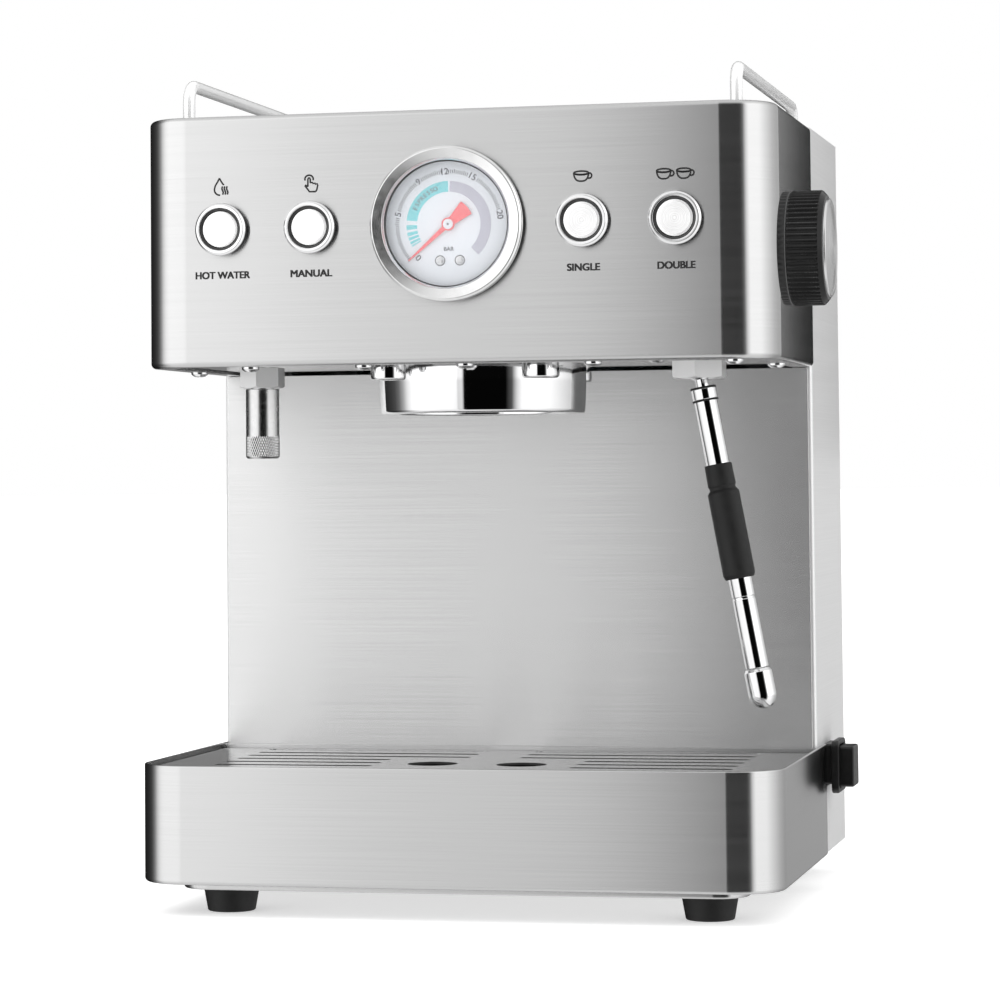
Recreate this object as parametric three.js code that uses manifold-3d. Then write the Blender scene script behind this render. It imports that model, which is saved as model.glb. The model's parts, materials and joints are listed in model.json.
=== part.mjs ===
// Espresso machine: a brushed steel box head on a column over a drip tray base.
// Millimetres, +Z up, the front faces -Y. The dimensions below are measured from the middle of the
// head's front face, at the level of the table; the group at the end moves the whole machine so that
// its own origin is the middle of its footprint.
import * as THREE from 'three';
import { mergeVertices } from 'three/addons/utils/BufferGeometryUtils.js';
import Module from 'manifold-3d';

const wasm = await Module();
wasm.setup();

// ---------------------------------------------------------------- driving dimensions
const SHEET = 1.2;        // thickness of the steel sheet
const GAP = 0.3;          // clearance between neighbouring pieces
const PAST = 5;           // how far a cutting tool reaches past what it cuts
const OVERLAP = 1;        // how far two joined solids run into each other
const WIDE = 200;         // reach of a tool that cuts right across the machine
const ROUND = 32;         // sides of a large turned piece
const SMALL_ROUND = 16;   // sides of a small one
const TINY_ROUND = 12;
const CORNER_STEPS = 3;

const HEAD = { halfWidth: 140, front: 0, rear: 126.9, bottom: 237.3, top: 346.8, corner: 22.5, edge: 1, flange: 10 };
const BASE = { halfWidth: 140.8, front: -9.2, rear: 148, bottom: 14.3, top: 65.2, corner: 22.5, edge: 1, flange: 10 };
const BASE_RIM = { drop: 0.4, height: 24.6 };
const COLUMN = { halfWidth: 139.2, front: 127.4, rear: 226.8, bottom: 14.6, lip: 9, lipTop: 342.8, foldUnder: 16 };
const SPLASH = { halfWidth: 137.4, front: 125.7, bottom: 60, top: 237 };
const FLOOR_PLATE = { halfWidth: 124.5, front: 3, rear: 222, bottom: 11, top: 13.9, corner: 14 };
const FOOT = { x: 106, front: 25, rear: 196, height: 10.7, top: 12.2, bottom: 10.4, ease: 0.8 };
const UNDER_PLATE = { inset: 1.6, bottom: 238.8, thickness: 1.4, neckRoom: 3, spoutRoom: 1, ballRoom: 3 };
const TOP_PLATE = { inset: 1.6, bottom: 344.6, thickness: 1.6, tankRoom: 2 };

const GRATE = { halfWidth: 139.1, front: -7.5, rear: 123, bottom: 61.6, thickness: 1.2, corner: 20.5 };
const SLOT = { width: 5, corner: 2.49, firstY: 15, pitch: 17, rows: 7, shortRows: 4 };
const SLOT_SPAN = { inner: 11.3, innerShort: 44, outer: 115.5 };
const FINGER_HOLE = { x: 20, y: 46, radius: 11 };
const BASIN = { halfWidth: 137.2, front: -5.6, rear: 122.6, bottom: 18, top: 61.3, wall: 2, corner: 18.5 };

const GAUGE = { z: 297, bezel: 33.5, proud: 6.2, window: 27.3, barrel: 31, depth: 22, back: 6, wall: 1.4 };
const GAUGE_RING = { bevel: 1.6, lipDepth: 1.4, seatDepth: 3.4, bore: 30, lens: 1 };
const DIAL = { radius: 29, bore: 1, y: 1.2, thickness: 0.8 };
const NEEDLE = { length: 23.5, tipHalf: 0.35, waistHalf: 1.1, tail: 10.5, tailHalf: 3.6, rest: -40 };
const NEEDLE_DEPTH = { blade: 0.6, bladeBack: 0.4, spindle: 0.7, spindleEnd: 6, hub: 2.4, hubFront: -0.9 };
const BUTTON = { z: 297, xs: [-101, -61, 59, 99], bezel: 11.5, proud: 4.6, well: 9.6, cap: 7.9, barrel: 9.4 };
const BUTTON_EASE = { rim: 0.9, funnel: 0.4, funnelDepth: 0.8, seatDepth: 1.6, cap: 0.5 };
const BUTTON_DEPTH = { barrel: 18, well: 12, capFront: 3.9, capLength: 9.5, stem: 2.6, stemLength: 12 };
const BUTTON_NAMES = ['hot_water', 'manual', 'single_cup', 'double_cup'];

const KNOB = { y: 33.5, z: 285.2, radius: 24.7, inner: 143.9, outer: 159.3, chamfer: 2.4, ease: 0.5 };
const KNOB_STEM = { radius: 3, end: 112 };
const KNOB_CAP = { radius: 21, thickness: 1.9, dome: 0.9, shoulder: 0.6, shoulderDrop: 0.2 };
const KNOB_COLLAR = { radius: 24.4, thickness: 3.2, bore: 6 };

const GROUP = { y: 65, bottom: 216.6, top: 238.5, radius: 46.1, lipRadius: 45.4, bore: 36.8, ceiling: 232 };
const GROUP_RIM = { inner: 1, outer: 1.2 };
const GROUP_BOSS = { x: 34, y: 37, radius: 8, bottom: 231.2 };
const GASKET = { outer: 36.4, inner: 28.6, bottom: 224.6 };
const SCREEN = { radius: 28.2, bottom: 225.4, thickness: 1.4, screw: 5, screwHead: 1.2, neck: 8 };

const SPOUT = { x: -101, y: 60, bottom: 197.7, shoulder: 229.1, top: 262 };
const SPOUT_BORE = { radius: 7.6, neck: 5.2, bore: 3, ease: 1.2 };
const SPOUT_NUT = { corner: 10.3, bottom: 229.4, bore: 5.6 };

const WAND = { x: 98.4, y: 60, z: 235.5, lean: 10.36, ball: 6, neck: 2.9 };
const WAND_TUBE = { radius: 5.1, start: 8.7, end: 133.2 };
const WAND_EASE = 0.5;
const BALL_STEPS = 7;
const WAND_BLOCK = { corner: 12.6, bottom: 230.9, bore: 9.3 };
const WAND_SOCKET = { outer: 9, inner: 6.35, bottom: 231.3, top: 238.2 };
const WAND_GRIP = { start: 43, neckEnd: 53, flare: 2.5, end: 93.6, ease: 0.8 };
const WAND_GRIP_RADII = { bore: 5.4, neck: 6.1, body: 7 };
const WAND_TIP = { length: 17.6, radius: 6.1, ease: 0.7, noseSteps: 4 };

const RAIL = { x: 122.4, front: 20.5, rear: 198, axisHeight: 363.2, radius: 2.85, bend: 8, foot: 344.2, steps: 36 };

const TANK = { halfWidth: 84, front: 158, rear: 216, bottom: 102, top: 345.6, wall: 2, corner: 6 };
const TANK_LID = { halfWidth: 90, front: 152.5, rear: 219.4, bottom: 347.2, thickness: 2.6, corner: 5 };
const LID_PIN = { y: 217, z: 350.6, radius: 1.6, length: 138, knuckle: 2.9, knuckleShort: 5.5 };
const LID_GRIP = { halfWidth: 18, depth: 5, height: 4 };
const TANK_EAR = { fromEnd: 2, halfWidth: 2.5, beyondPin: 3, down: 8, notchHalf: 3.2, notchBack: 5, notchTop: 12 };
const SHELF = { bottom: 86, thickness: 2 };
const TANK_SEAT = { y: 187, radius: 14, top: 101.6, spigot: 4.5, spigotEnd: 76 };

const BOILER = { radius: 37, lidRadius: 39.5, lid: 6, bottom: 250, top: 322, ease: 4, neck: 11.4, neckEnd: 234.8 };
const VALVE = { x0: 106, x1: 132, half: 11 };
const BOARD = { x0: -126, x1: -46, y: 113, thickness: 1.6, z0: 250, z1: 320 };
const RELAY = { x0: -116, x1: -96, depth: 14, z0: 262, z1: 290 };
const TRANSFORMER = { x0: -80, x1: -54, depth: 18, z0: 270, z1: 302 };
const BOARD_SINK = 0.5;
const PUMP = { x0: -92, x1: -22, y: 176, z: 50, coil: 19, fitting: 5.5, inletEnd: -8, outletEnd: -108 };
const PUMP_FEET = { height: 14, radius: 6, x: 22, strapInset: 4 };
const PIPE = { radius: 2.4, sides: 4, stepsPerPoint: 3, hole: 4.4 };
const HOSE_RADIUS = 3.2;
const RISER = { x: -112, y: 144 };
const PIPE_RUN = { bend: 330.3, level: 335.3, drop: 327.3 };

const SWITCH = { y0: 150, y1: 178, z0: 42.3, z1: 66.2, neckOuter: 142.6, flangeOuter: 146, neckInner: 116 };
const SWITCH_NECK = { y0: 152, y1: 176, z0: 46.4, z1: 64.8 };
const SWITCH_WELL = { y0: 154.4, y1: 174.2, z0: 45.3, z1: 64.9 };
const SWITCH_CAP = { margin: 0.4, inner: 145.1, outer: 152.4, stem: 3.4, stemEnd: 122, stemRoom: 6 };
const INLET = { x0: 40, x1: 90, z0: 34, z1: 62, proud: 1.4, gap: 0.1, depth: 20, wall: 3, ear: 2 };
const INLET_MOUTH = { x0: 53.5, x1: 76.5, z0: 40.5, z1: 55.5, depth: 16 };
const INLET_BLADE = { pitch: 7, halfWidth: 1, halfHeight: 2, rise: 2, recess: 3 };
const VENT = { rows: 9, pitch: 11, width: 4, halfLength: 46, firstZ: 210 };

const ORIGIN = { x: (KNOB.outer + GAP + KNOB_CAP.thickness - BASE.halfWidth) / 2,
  y: (COLUMN.rear + INLET.proud + BASE.front) / 2 };

// ---------------------------------------------------------------- materials
function material(color, roughness, metalness) {
  return new THREE.MeshStandardMaterial({ color, roughness, metalness });
}

const brushedSteel = () => material(0xb8babb, 0.34, 1);
const chrome = () => material(0xdcdddd, 0.07, 1);
const blackPlastic = () => material(0x1b1b1c, 0.5, 0);
const blackRubber = () => material(0x161617, 0.75, 0);
const brass = () => material(0xb59a5a, 0.35, 1);
const castAluminium = () => material(0x9a9c9e, 0.55, 1);

// ---------------------------------------------------------------- solids
function signedVolume(positions, index) {
  const corner = (k) => new THREE.Vector3().fromBufferAttribute(positions, index[k]);
  let volume = 0;
  for (let k = 0; k < index.length; k += 3) {
    volume += corner(k).dot(corner(k + 1).cross(corner(k + 2))) / 6;
  }
  return volume;
}

// A closed geometry as welded vertices and triangles that face out.
function welded(geometry) {
  const bare = geometry.index ? geometry.clone() : geometry;
  bare.deleteAttribute('normal');
  bare.deleteAttribute('uv');
  const merged = mergeVertices(bare, 1e-4);
  const source = merged.index.array;
  let index = [];
  for (let k = 0; k < source.length; k += 3) {
    const [a, b, c] = source.slice(k, k + 3);
    if (a !== b && b !== c && c !== a) index.push(a, b, c);
  }
  if (signedVolume(merged.attributes.position, index) < 0) index = index.reverse();
  merged.setIndex(index);
  return merged;
}

function toSolid(geometry) {
  const merged = welded(geometry);
  return new wasm.Manifold(new wasm.Mesh({
    numProp: 3,
    vertProperties: new Float32Array(merged.attributes.position.array),
    triVerts: new Uint32Array(merged.index.array),
  }));
}

function fromSolid(solid) {
  const { vertProperties, triVerts } = solid.getMesh();
  const geometry = new THREE.BufferGeometry();
  geometry.setAttribute('position', new THREE.BufferAttribute(new Float32Array(vertProperties), 3));
  geometry.setIndex(new THREE.BufferAttribute(new Uint32Array(triVerts), 1));
  return geometry;
}

function subtract(body, ...tools) {
  return fromSolid(tools.reduce((solid, tool) => solid.subtract(toSolid(tool)), toSolid(body)));
}

function unite(body, ...others) {
  return fromSolid(others.reduce((solid, other) => solid.add(toSolid(other)), toSolid(body)));
}

// ---------------------------------------------------------------- shapes
function box(x0, x1, y0, y1, z0, z1) {
  const geometry = new THREE.BoxGeometry(x1 - x0, y1 - y0, z1 - z0);
  return geometry.translate((x0 + x1) / 2, (y0 + y1) / 2, (z0 + z1) / 2);
}

// An outline with rounded front corners and square rear ones.
function frontRounded(halfWidth, front, rear, radius) {
  const shape = new THREE.Shape();
  shape.moveTo(-halfWidth, rear);
  shape.lineTo(-halfWidth, front + radius);
  shape.absarc(-halfWidth + radius, front + radius, radius, Math.PI, 1.5 * Math.PI, false);
  shape.lineTo(halfWidth - radius, front);
  shape.absarc(halfWidth - radius, front + radius, radius, 1.5 * Math.PI, 2 * Math.PI, false);
  shape.lineTo(halfWidth, rear);
  shape.closePath();
  return shape;
}

function rounded(x0, x1, y0, y1, radius) {
  const shape = new THREE.Shape();
  shape.absarc(x1 - radius, y1 - radius, radius, 0, 0.5 * Math.PI, false);
  shape.absarc(x0 + radius, y1 - radius, radius, 0.5 * Math.PI, Math.PI, false);
  shape.absarc(x0 + radius, y0 + radius, radius, Math.PI, 1.5 * Math.PI, false);
  shape.absarc(x1 - radius, y0 + radius, radius, 1.5 * Math.PI, 2 * Math.PI, false);
  shape.closePath();
  return shape;
}

function slab(shape, z0, z1, curveSegments = CORNER_STEPS) {
  const geometry = new THREE.ExtrudeGeometry(shape, { depth: z1 - z0, bevelEnabled: false, curveSegments });
  return geometry.translate(0, 0, z0);
}

// A slab whose top and bottom edges are rounded over by the given radius.
function softSlab(shape, z0, z1, radius) {
  const geometry = new THREE.ExtrudeGeometry(shape, {
    depth: z1 - z0 - 2 * radius,
    bevelEnabled: true,
    bevelSize: radius,
    bevelOffset: -radius,
    bevelThickness: radius,
    bevelSegments: 2,
    curveSegments: CORNER_STEPS,
  });
  return geometry.translate(0, 0, z0 + radius);
}

// A solid of revolution from [radius, height] points, about the Y axis through the origin.
function turned(points, segments = ROUND) {
  return new THREE.LatheGeometry(points.map(([r, h]) => new THREE.Vector2(r, h)), segments);
}

const alongX = (geometry) => geometry.rotateZ(-Math.PI / 2);
const alongZ = (geometry) => geometry.rotateX(Math.PI / 2);

function disc(radius, h0, h1, segments = ROUND) {
  return turned([[0, h0], [radius, h0], [radius, h1], [0, h1]], segments);
}

function ring(outer, inner, h0, h1, segments = ROUND) {
  return turned([[inner, h0], [outer, h0], [outer, h1], [inner, h1], [inner, h0]], segments);
}

function hexRing(corner, bore, z0, z1) {
  const hexagon = new THREE.CylinderGeometry(corner, corner, z1 - z0, 6, 1);
  const prism = alongZ(hexagon).translate(0, 0, (z0 + z1) / 2);
  return subtract(prism, alongZ(disc(bore, z0 - PAST, z1 + PAST, SMALL_ROUND)));
}

function pipe(points, radius = PIPE.radius) {
  const path = new THREE.CatmullRomCurve3(points.map((p) => new THREE.Vector3(...p)), false, 'centripetal');
  const section = new THREE.Shape();
  section.absarc(0, 0, radius, 0, 2 * Math.PI, false);
  return new THREE.ExtrudeGeometry(section, {
    steps: PIPE.stepsPerPoint * (points.length - 1),
    curveSegments: PIPE.sides,
    extrudePath: path,
    bevelEnabled: false,
  });
}

const group = new THREE.Group();
group.position.set(-ORIGIN.x, -ORIGIN.y, 0);

function add(name, geometry, look, position = [0, 0, 0]) {
  const mesh = new THREE.Mesh(welded(geometry), look);
  mesh.name = name;
  mesh.position.set(...position);
  group.add(mesh);
  return mesh;
}

// ---------------------------------------------------------------- casing
function headShell() {
  const beyond = HEAD.rear + 2 * HEAD.corner;
  const block = softSlab(frontRounded(HEAD.halfWidth, HEAD.front, beyond, HEAD.corner),
    HEAD.bottom, HEAD.top, HEAD.edge);
  const inside = frontRounded(HEAD.halfWidth - SHEET, HEAD.front + SHEET, beyond + PAST, HEAD.corner - SHEET);
  const mouth = frontRounded(HEAD.halfWidth - HEAD.flange, HEAD.front + HEAD.flange, beyond + PAST,
    HEAD.corner - HEAD.flange);
  const shell = subtract(
    block,
    slab(inside, HEAD.bottom + SHEET, HEAD.top + PAST),
    slab(mouth, HEAD.bottom - PAST, HEAD.top + PAST),
    box(-WIDE, WIDE, HEAD.rear, beyond + 2 * PAST, HEAD.bottom - PAST, HEAD.top + PAST),
    disc(GAUGE.barrel + GAP, -PAST, PAST).translate(0, 0, GAUGE.z),
    ...BUTTON.xs.map((x) => disc(BUTTON.barrel + GAP, -PAST, PAST, SMALL_ROUND).translate(x, 0, BUTTON.z)),
    alongX(disc(KNOB_COLLAR.bore, HEAD.halfWidth - PAST, HEAD.halfWidth + PAST, SMALL_ROUND))
      .translate(0, KNOB.y, KNOB.z),
  );
  add('head_shell', shell, brushedSteel());
}

function headUnderPlate() {
  const { inset, bottom, thickness, neckRoom, spoutRoom, ballRoom } = UNDER_PLATE;
  const outline = frontRounded(HEAD.halfWidth - inset, HEAD.front + inset, SPLASH.front - OVERLAP,
    HEAD.corner - inset);
  const hole = (radius, x, y, sides) =>
    alongZ(disc(radius, bottom - PAST, bottom + PAST, sides)).translate(x, y, 0);
  const plate = subtract(
    slab(outline, bottom, bottom + thickness),
    hole(BOILER.neck + neckRoom, 0, GROUP.y, ROUND),
    hole(SPOUT_NUT.bore + spoutRoom, SPOUT.x, SPOUT.y, SMALL_ROUND),
    hole(WAND.ball + ballRoom, WAND.x, WAND.y, SMALL_ROUND),
  );
  add('head_under_plate', plate, brushedSteel());
}

function topCover() {
  const { inset, bottom, thickness, tankRoom } = TOP_PLATE;
  const top = bottom + thickness;
  const front = frontRounded(HEAD.halfWidth - inset, HEAD.front + inset, HEAD.rear, HEAD.corner - inset);
  const rear = box(-COLUMN.halfWidth + inset, COLUMN.halfWidth - inset, HEAD.rear - OVERLAP,
    COLUMN.rear - inset, bottom, top);
  const opening = slab(rounded(-TANK.halfWidth - tankRoom, TANK.halfWidth + tankRoom, TANK.front - tankRoom,
    TANK.rear + 2.5 * tankRoom, TANK.corner), bottom - PAST, top + PAST);
  const posts = [-1, 1].flatMap((side) => [RAIL.front, RAIL.rear].map((y) =>
    alongZ(disc(RAIL.radius + GAP, bottom - PAST, top + PAST, TINY_ROUND)).translate(side * RAIL.x, y, 0)));
  add('top_cover', subtract(unite(slab(front, bottom, top), rear), opening, ...posts), brushedSteel());
}

function cupRail(name, side) {
  const { front, rear, axisHeight, bend, foot } = RAIL;
  const at = (y, z) => new THREE.Vector3(side * RAIL.x, y, z);
  const straightTop = axisHeight - bend;
  const path = new THREE.CurvePath();
  path.add(new THREE.LineCurve3(at(front, foot), at(front, straightTop)));
  path.add(new THREE.QuadraticBezierCurve3(at(front, straightTop), at(front, axisHeight),
    at(front + bend, axisHeight)));
  path.add(new THREE.LineCurve3(at(front + bend, axisHeight), at(rear - bend, axisHeight)));
  path.add(new THREE.QuadraticBezierCurve3(at(rear - bend, axisHeight), at(rear, axisHeight),
    at(rear, straightTop)));
  path.add(new THREE.LineCurve3(at(rear, straightTop), at(rear, foot)));
  const section = new THREE.Shape();
  section.absarc(0, 0, RAIL.radius, 0, 2 * Math.PI, false);
  const rail = new THREE.ExtrudeGeometry(section, {
    steps: RAIL.steps,
    curveSegments: PIPE.sides + 1,
    extrudePath: path,
    bevelEnabled: false,
  });
  add(name, rail, chrome());
}

function sidePanel(name, side) {
  const outer = side * COLUMN.halfWidth;
  const inner = side * (COLUMN.halfWidth - SHEET);
  const lip = side * (COLUMN.halfWidth - COLUMN.lip);
  const span = (a, b) => [Math.min(a, b), Math.max(a, b)];
  const sheet = box(...span(inner, outer), COLUMN.front, COLUMN.rear, COLUMN.bottom, HEAD.top);
  const fold = box(...span(lip, outer), COLUMN.front, COLUMN.front + SHEET, COLUMN.bottom, COLUMN.lipTop);
  const under = box(...span(side * (COLUMN.halfWidth - COLUMN.foldUnder), outer), BASE.rear + OVERLAP,
    COLUMN.rear - SHEET - GAP, COLUMN.bottom, COLUMN.bottom + SHEET);
  const panel = unite(sheet, fold, under);
  const hole = box(outer - PAST, outer + PAST, SWITCH_NECK.y0 - GAP, SWITCH_NECK.y1 + GAP, SWITCH_NECK.z0 - GAP,
    SWITCH_NECK.z1 + GAP);
  add(name, side > 0 ? subtract(panel, hole) : panel, brushedSteel());
}

function rearPanel() {
  const halfWidth = COLUMN.halfWidth - SHEET - GAP;
  const sheet = box(-halfWidth, halfWidth, COLUMN.rear - SHEET, COLUMN.rear, COLUMN.bottom, TOP_PLATE.bottom - GAP);
  const sideRoom = COLUMN.foldUnder + GAP;
  const under = box(-COLUMN.halfWidth + sideRoom, COLUMN.halfWidth - sideRoom, COLUMN.rear - COLUMN.foldUnder,
    COLUMN.rear - SHEET / 2, COLUMN.bottom, COLUMN.bottom + SHEET);
  const slots = Array.from({ length: VENT.rows }, (_, row) => {
    const z = VENT.firstZ + row * VENT.pitch;
    return box(-VENT.halfLength, VENT.halfLength, COLUMN.rear - PAST, COLUMN.rear + PAST, z, z + VENT.width);
  });
  const inletSide = INLET.wall + INLET.ear;
  const inletHole = box(INLET.x0 + inletSide, INLET.x1 - inletSide, COLUMN.rear - PAST, COLUMN.rear + PAST,
    INLET.z0 + INLET.wall - GAP, INLET.z1 - INLET.wall + GAP);
  add('rear_panel', subtract(unite(sheet, under), inletHole, ...slots), brushedSteel());
}

function splashPlate() {
  const { halfWidth, front, bottom, top } = SPLASH;
  add('splash_plate', box(-halfWidth, halfWidth, front, front + SHEET, bottom, top), brushedSteel());
}

function baseShell() {
  const beyond = BASE.rear + 2 * BASE.corner;
  const block = softSlab(frontRounded(BASE.halfWidth, BASE.front, beyond, BASE.corner),
    BASE.bottom, BASE.top, BASE.edge);
  const inside = frontRounded(BASE.halfWidth - SHEET, BASE.front + SHEET, beyond + PAST, BASE.corner - SHEET);
  const mouth = frontRounded(BASE.halfWidth - BASE.flange, BASE.front + BASE.flange, beyond + PAST,
    BASE.corner - BASE.flange);
  const walls = subtract(
    block,
    slab(inside, BASE.bottom + SHEET, BASE.top + PAST),
    slab(mouth, BASE.bottom - PAST, BASE.top + PAST),
    box(-WIDE, WIDE, BASE.rear, beyond + 2 * PAST, BASE.bottom - PAST, BASE.top + PAST),
    box(-COLUMN.halfWidth - GAP, COLUMN.halfWidth + GAP, COLUMN.front - GAP, BASE.rear + PAST, 0, BASE.top + PAST),
  );
  const rimTop = BASE.top - BASE_RIM.drop;
  const rearRim = box(-BASE.halfWidth + SHEET / 2, BASE.halfWidth - SHEET / 2, SPLASH.front - GAP - SHEET,
    SPLASH.front - GAP, rimTop - BASE_RIM.height, rimTop);
  add('base_shell', unite(walls, rearRim), brushedSteel());
}

function floorPlate() {
  const { halfWidth, front, rear, bottom, top, corner } = FLOOR_PLATE;
  add('floor_plate', slab(rounded(-halfWidth, halfWidth, front, rear, corner), bottom, top), brushedSteel());
}

function foot(name, x, y) {
  const { height, top, bottom, ease } = FOOT;
  const profile = [[0, 0], [bottom - ease, 0], [bottom, ease], [top, height], [0, height]];
  add(name, alongZ(turned(profile, SMALL_ROUND)), blackRubber(), [x, y, 0]);
}

function feet() {
  for (const [end, y] of [['front', FOOT.front], ['rear', FOOT.rear]]) {
    foot(`foot_${end}_left`, -FOOT.x, y);
    foot(`foot_${end}_right`, FOOT.x, y);
  }
}

// ---------------------------------------------------------------- drip tray
function slotTool(x0, x1, y) {
  const half = SLOT.width / 2;
  return slab(rounded(x0, x1, y - half, y + half, SLOT.corner), GRATE.bottom - PAST, GRATE.bottom + PAST, 1);
}

function dripGrate() {
  const { halfWidth, front, rear, bottom, thickness, corner } = GRATE;
  const sheet = slab(frontRounded(halfWidth, front, rear, corner), bottom, bottom + thickness);
  const cuts = [];
  for (let row = 0; row < SLOT.rows; row += 1) {
    const y = SLOT.firstY + row * SLOT.pitch;
    const inner = row < SLOT.shortRows ? SLOT_SPAN.innerShort : SLOT_SPAN.inner;
    cuts.push(slotTool(-SLOT_SPAN.outer, -inner, y), slotTool(inner, SLOT_SPAN.outer, y));
  }
  for (const side of [-1, 1]) {
    cuts.push(alongZ(disc(FINGER_HOLE.radius, bottom - PAST, bottom + PAST, SMALL_ROUND))
      .translate(side * FINGER_HOLE.x, FINGER_HOLE.y, 0));
  }
  add('drip_grate', subtract(sheet, ...cuts), brushedSteel());
}

function dripBasin() {
  const { halfWidth, front, rear, bottom, top, wall, corner } = BASIN;
  const outer = slab(rounded(-halfWidth, halfWidth, front, rear, corner), bottom, top, 2);
  const inner = slab(rounded(-halfWidth + wall, halfWidth - wall, front + wall, rear - wall, corner - wall),
    bottom + wall, top + PAST, 2);
  add('drip_basin', subtract(outer, inner), blackPlastic());
}

// ---------------------------------------------------------------- pressure gauge
function gauge() {
  const { z, bezel, proud, window, barrel, depth, back, wall } = GAUGE;
  const { bevel, lipDepth, seatDepth, bore, lens } = GAUGE_RING;
  const place = [0, 0, z];
  const seat = -proud + seatDepth;
  const bezelProfile = [
    [window, -proud + lipDepth], [window + bevel, -proud], [bezel - bevel, -proud], [bezel, -proud + bevel],
    [bezel, -GAP], [bore, -GAP], [bore, seat], [window, seat], [window, -proud + lipDepth],
  ];
  add('gauge_bezel', turned(bezelProfile), chrome(), place);
  add('gauge_lens', disc(barrel - wall, seat + GAP, seat + GAP + lens), material(0xe8eef0, 0.05, 0), place);
  const plate = ring(DIAL.radius, DIAL.bore, DIAL.y, DIAL.y + DIAL.thickness, SMALL_ROUND);
  add('gauge_dial', plate, material(0xe9edf0, 0.5, 0), place);
  const casing = [
    [0, depth], [barrel, depth], [barrel, GAP], [barrel - wall, GAP],
    [barrel - wall, depth - back], [0, depth - back],
  ];
  add('gauge_case', turned(casing, SMALL_ROUND), castAluminium(), place);
  add('gauge_needle', needle(), material(0xc8434a, 0.45, 0), place);
}

// The needle lies level, pointing left, and is then turned to its rest against the zero of the scale.
function needle() {
  const { length, tipHalf, waistHalf, tail, tailHalf, rest } = NEEDLE;
  const { blade, bladeBack, spindle, spindleEnd, hub, hubFront } = NEEDLE_DEPTH;
  const fan = Math.atan2(tailHalf, tail);
  const arrow = new THREE.Shape();
  arrow.moveTo(-length, tipHalf);
  arrow.lineTo(-length, -tipHalf);
  arrow.lineTo(0, -waistHalf);
  arrow.lineTo(tail, -tailHalf);
  arrow.absarc(0, 0, Math.hypot(tail, tailHalf), -fan, fan, false);
  arrow.lineTo(0, waistHalf);
  arrow.closePath();
  const flat = new THREE.ExtrudeGeometry(arrow, { depth: blade, bevelEnabled: false, curveSegments: CORNER_STEPS });
  const upright = flat.rotateX(Math.PI / 2).translate(0, bladeBack, 0);
  const post = disc(spindle, 0, spindleEnd, TINY_ROUND);
  return unite(upright, post, disc(hub, hubFront, 0, SMALL_ROUND)).rotateY(THREE.MathUtils.degToRad(rest));
}

// ---------------------------------------------------------------- push buttons
function pushButton(label, x) {
  const { z, bezel, proud, well, cap, barrel } = BUTTON;
  const place = [x, 0, z];
  const { barrel: back, well: wellDepth, capFront, capLength, stem, stemLength } = BUTTON_DEPTH;
  const { rim, funnel, funnelDepth, seatDepth, cap: capEase } = BUTTON_EASE;
  const housing = [
    [stem + GAP, wellDepth], [cap + GAP, wellDepth], [cap + GAP, -proud + seatDepth], [well, -proud + funnelDepth],
    [well + funnel, -proud], [bezel - rim, -proud], [bezel, -proud + rim], [bezel, -GAP],
    [barrel, -GAP], [barrel, back], [stem + GAP, back], [stem + GAP, wellDepth],
  ];
  add(`button_bezel_${label}`, turned(housing, SMALL_ROUND), chrome(), place);
  const capBack = capLength - capFront;
  const plunger = [
    [0, -capFront], [cap - capEase, -capFront], [cap, -capFront + capEase], [cap, capBack],
    [stem, capBack], [stem, capBack + stemLength], [0, capBack + stemLength],
  ];
  add(`button_cap_${label}`, turned(plunger, SMALL_ROUND), brushedSteel(), place);
}

// ---------------------------------------------------------------- steam knob and valve
function steamKnob() {
  const { y, z, radius, inner, outer, chamfer, ease } = KNOB;
  const place = [0, y, z];
  const grip = turned([
    [0, KNOB_STEM.end], [KNOB_STEM.radius, KNOB_STEM.end], [KNOB_STEM.radius, inner], [radius - ease, inner],
    [radius, inner + ease], [radius, outer - chamfer], [radius - chamfer, outer], [0, outer],
  ]);
  add('steam_knob', alongX(grip), blackPlastic(), place);
  const back = outer + GAP;
  const front = back + KNOB_CAP.thickness;
  const capProfile = [
    [0, back], [KNOB_CAP.radius, back], [KNOB_CAP.radius, front - KNOB_CAP.dome],
    [KNOB_CAP.radius * KNOB_CAP.shoulder, front - KNOB_CAP.shoulderDrop], [0, front],
  ];
  add('knob_cap', alongX(turned(capProfile)), chrome(), place);
  const seat = HEAD.halfWidth + GAP;
  const collar = ring(KNOB_COLLAR.radius, KNOB_COLLAR.bore, seat, seat + KNOB_COLLAR.thickness);
  add('knob_collar', alongX(collar), blackPlastic(), place);
}

function steamValve() {
  const { x0, x1, half } = VALVE;
  const body = box(x0, x1, KNOB.y - half, KNOB.y + half, KNOB.z - half, KNOB.z + half);
  const gland = alongX(disc(KNOB_COLLAR.bore - GAP, x1 - OVERLAP, HEAD.halfWidth - OVERLAP, SMALL_ROUND))
    .translate(0, KNOB.y, KNOB.z);
  const bore = alongX(disc(KNOB_STEM.radius + GAP, KNOB_STEM.end - OVERLAP, HEAD.halfWidth + PAST, SMALL_ROUND))
    .translate(0, KNOB.y, KNOB.z);
  add('steam_valve', subtract(unite(body, gland), bore), brass());
}

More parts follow.
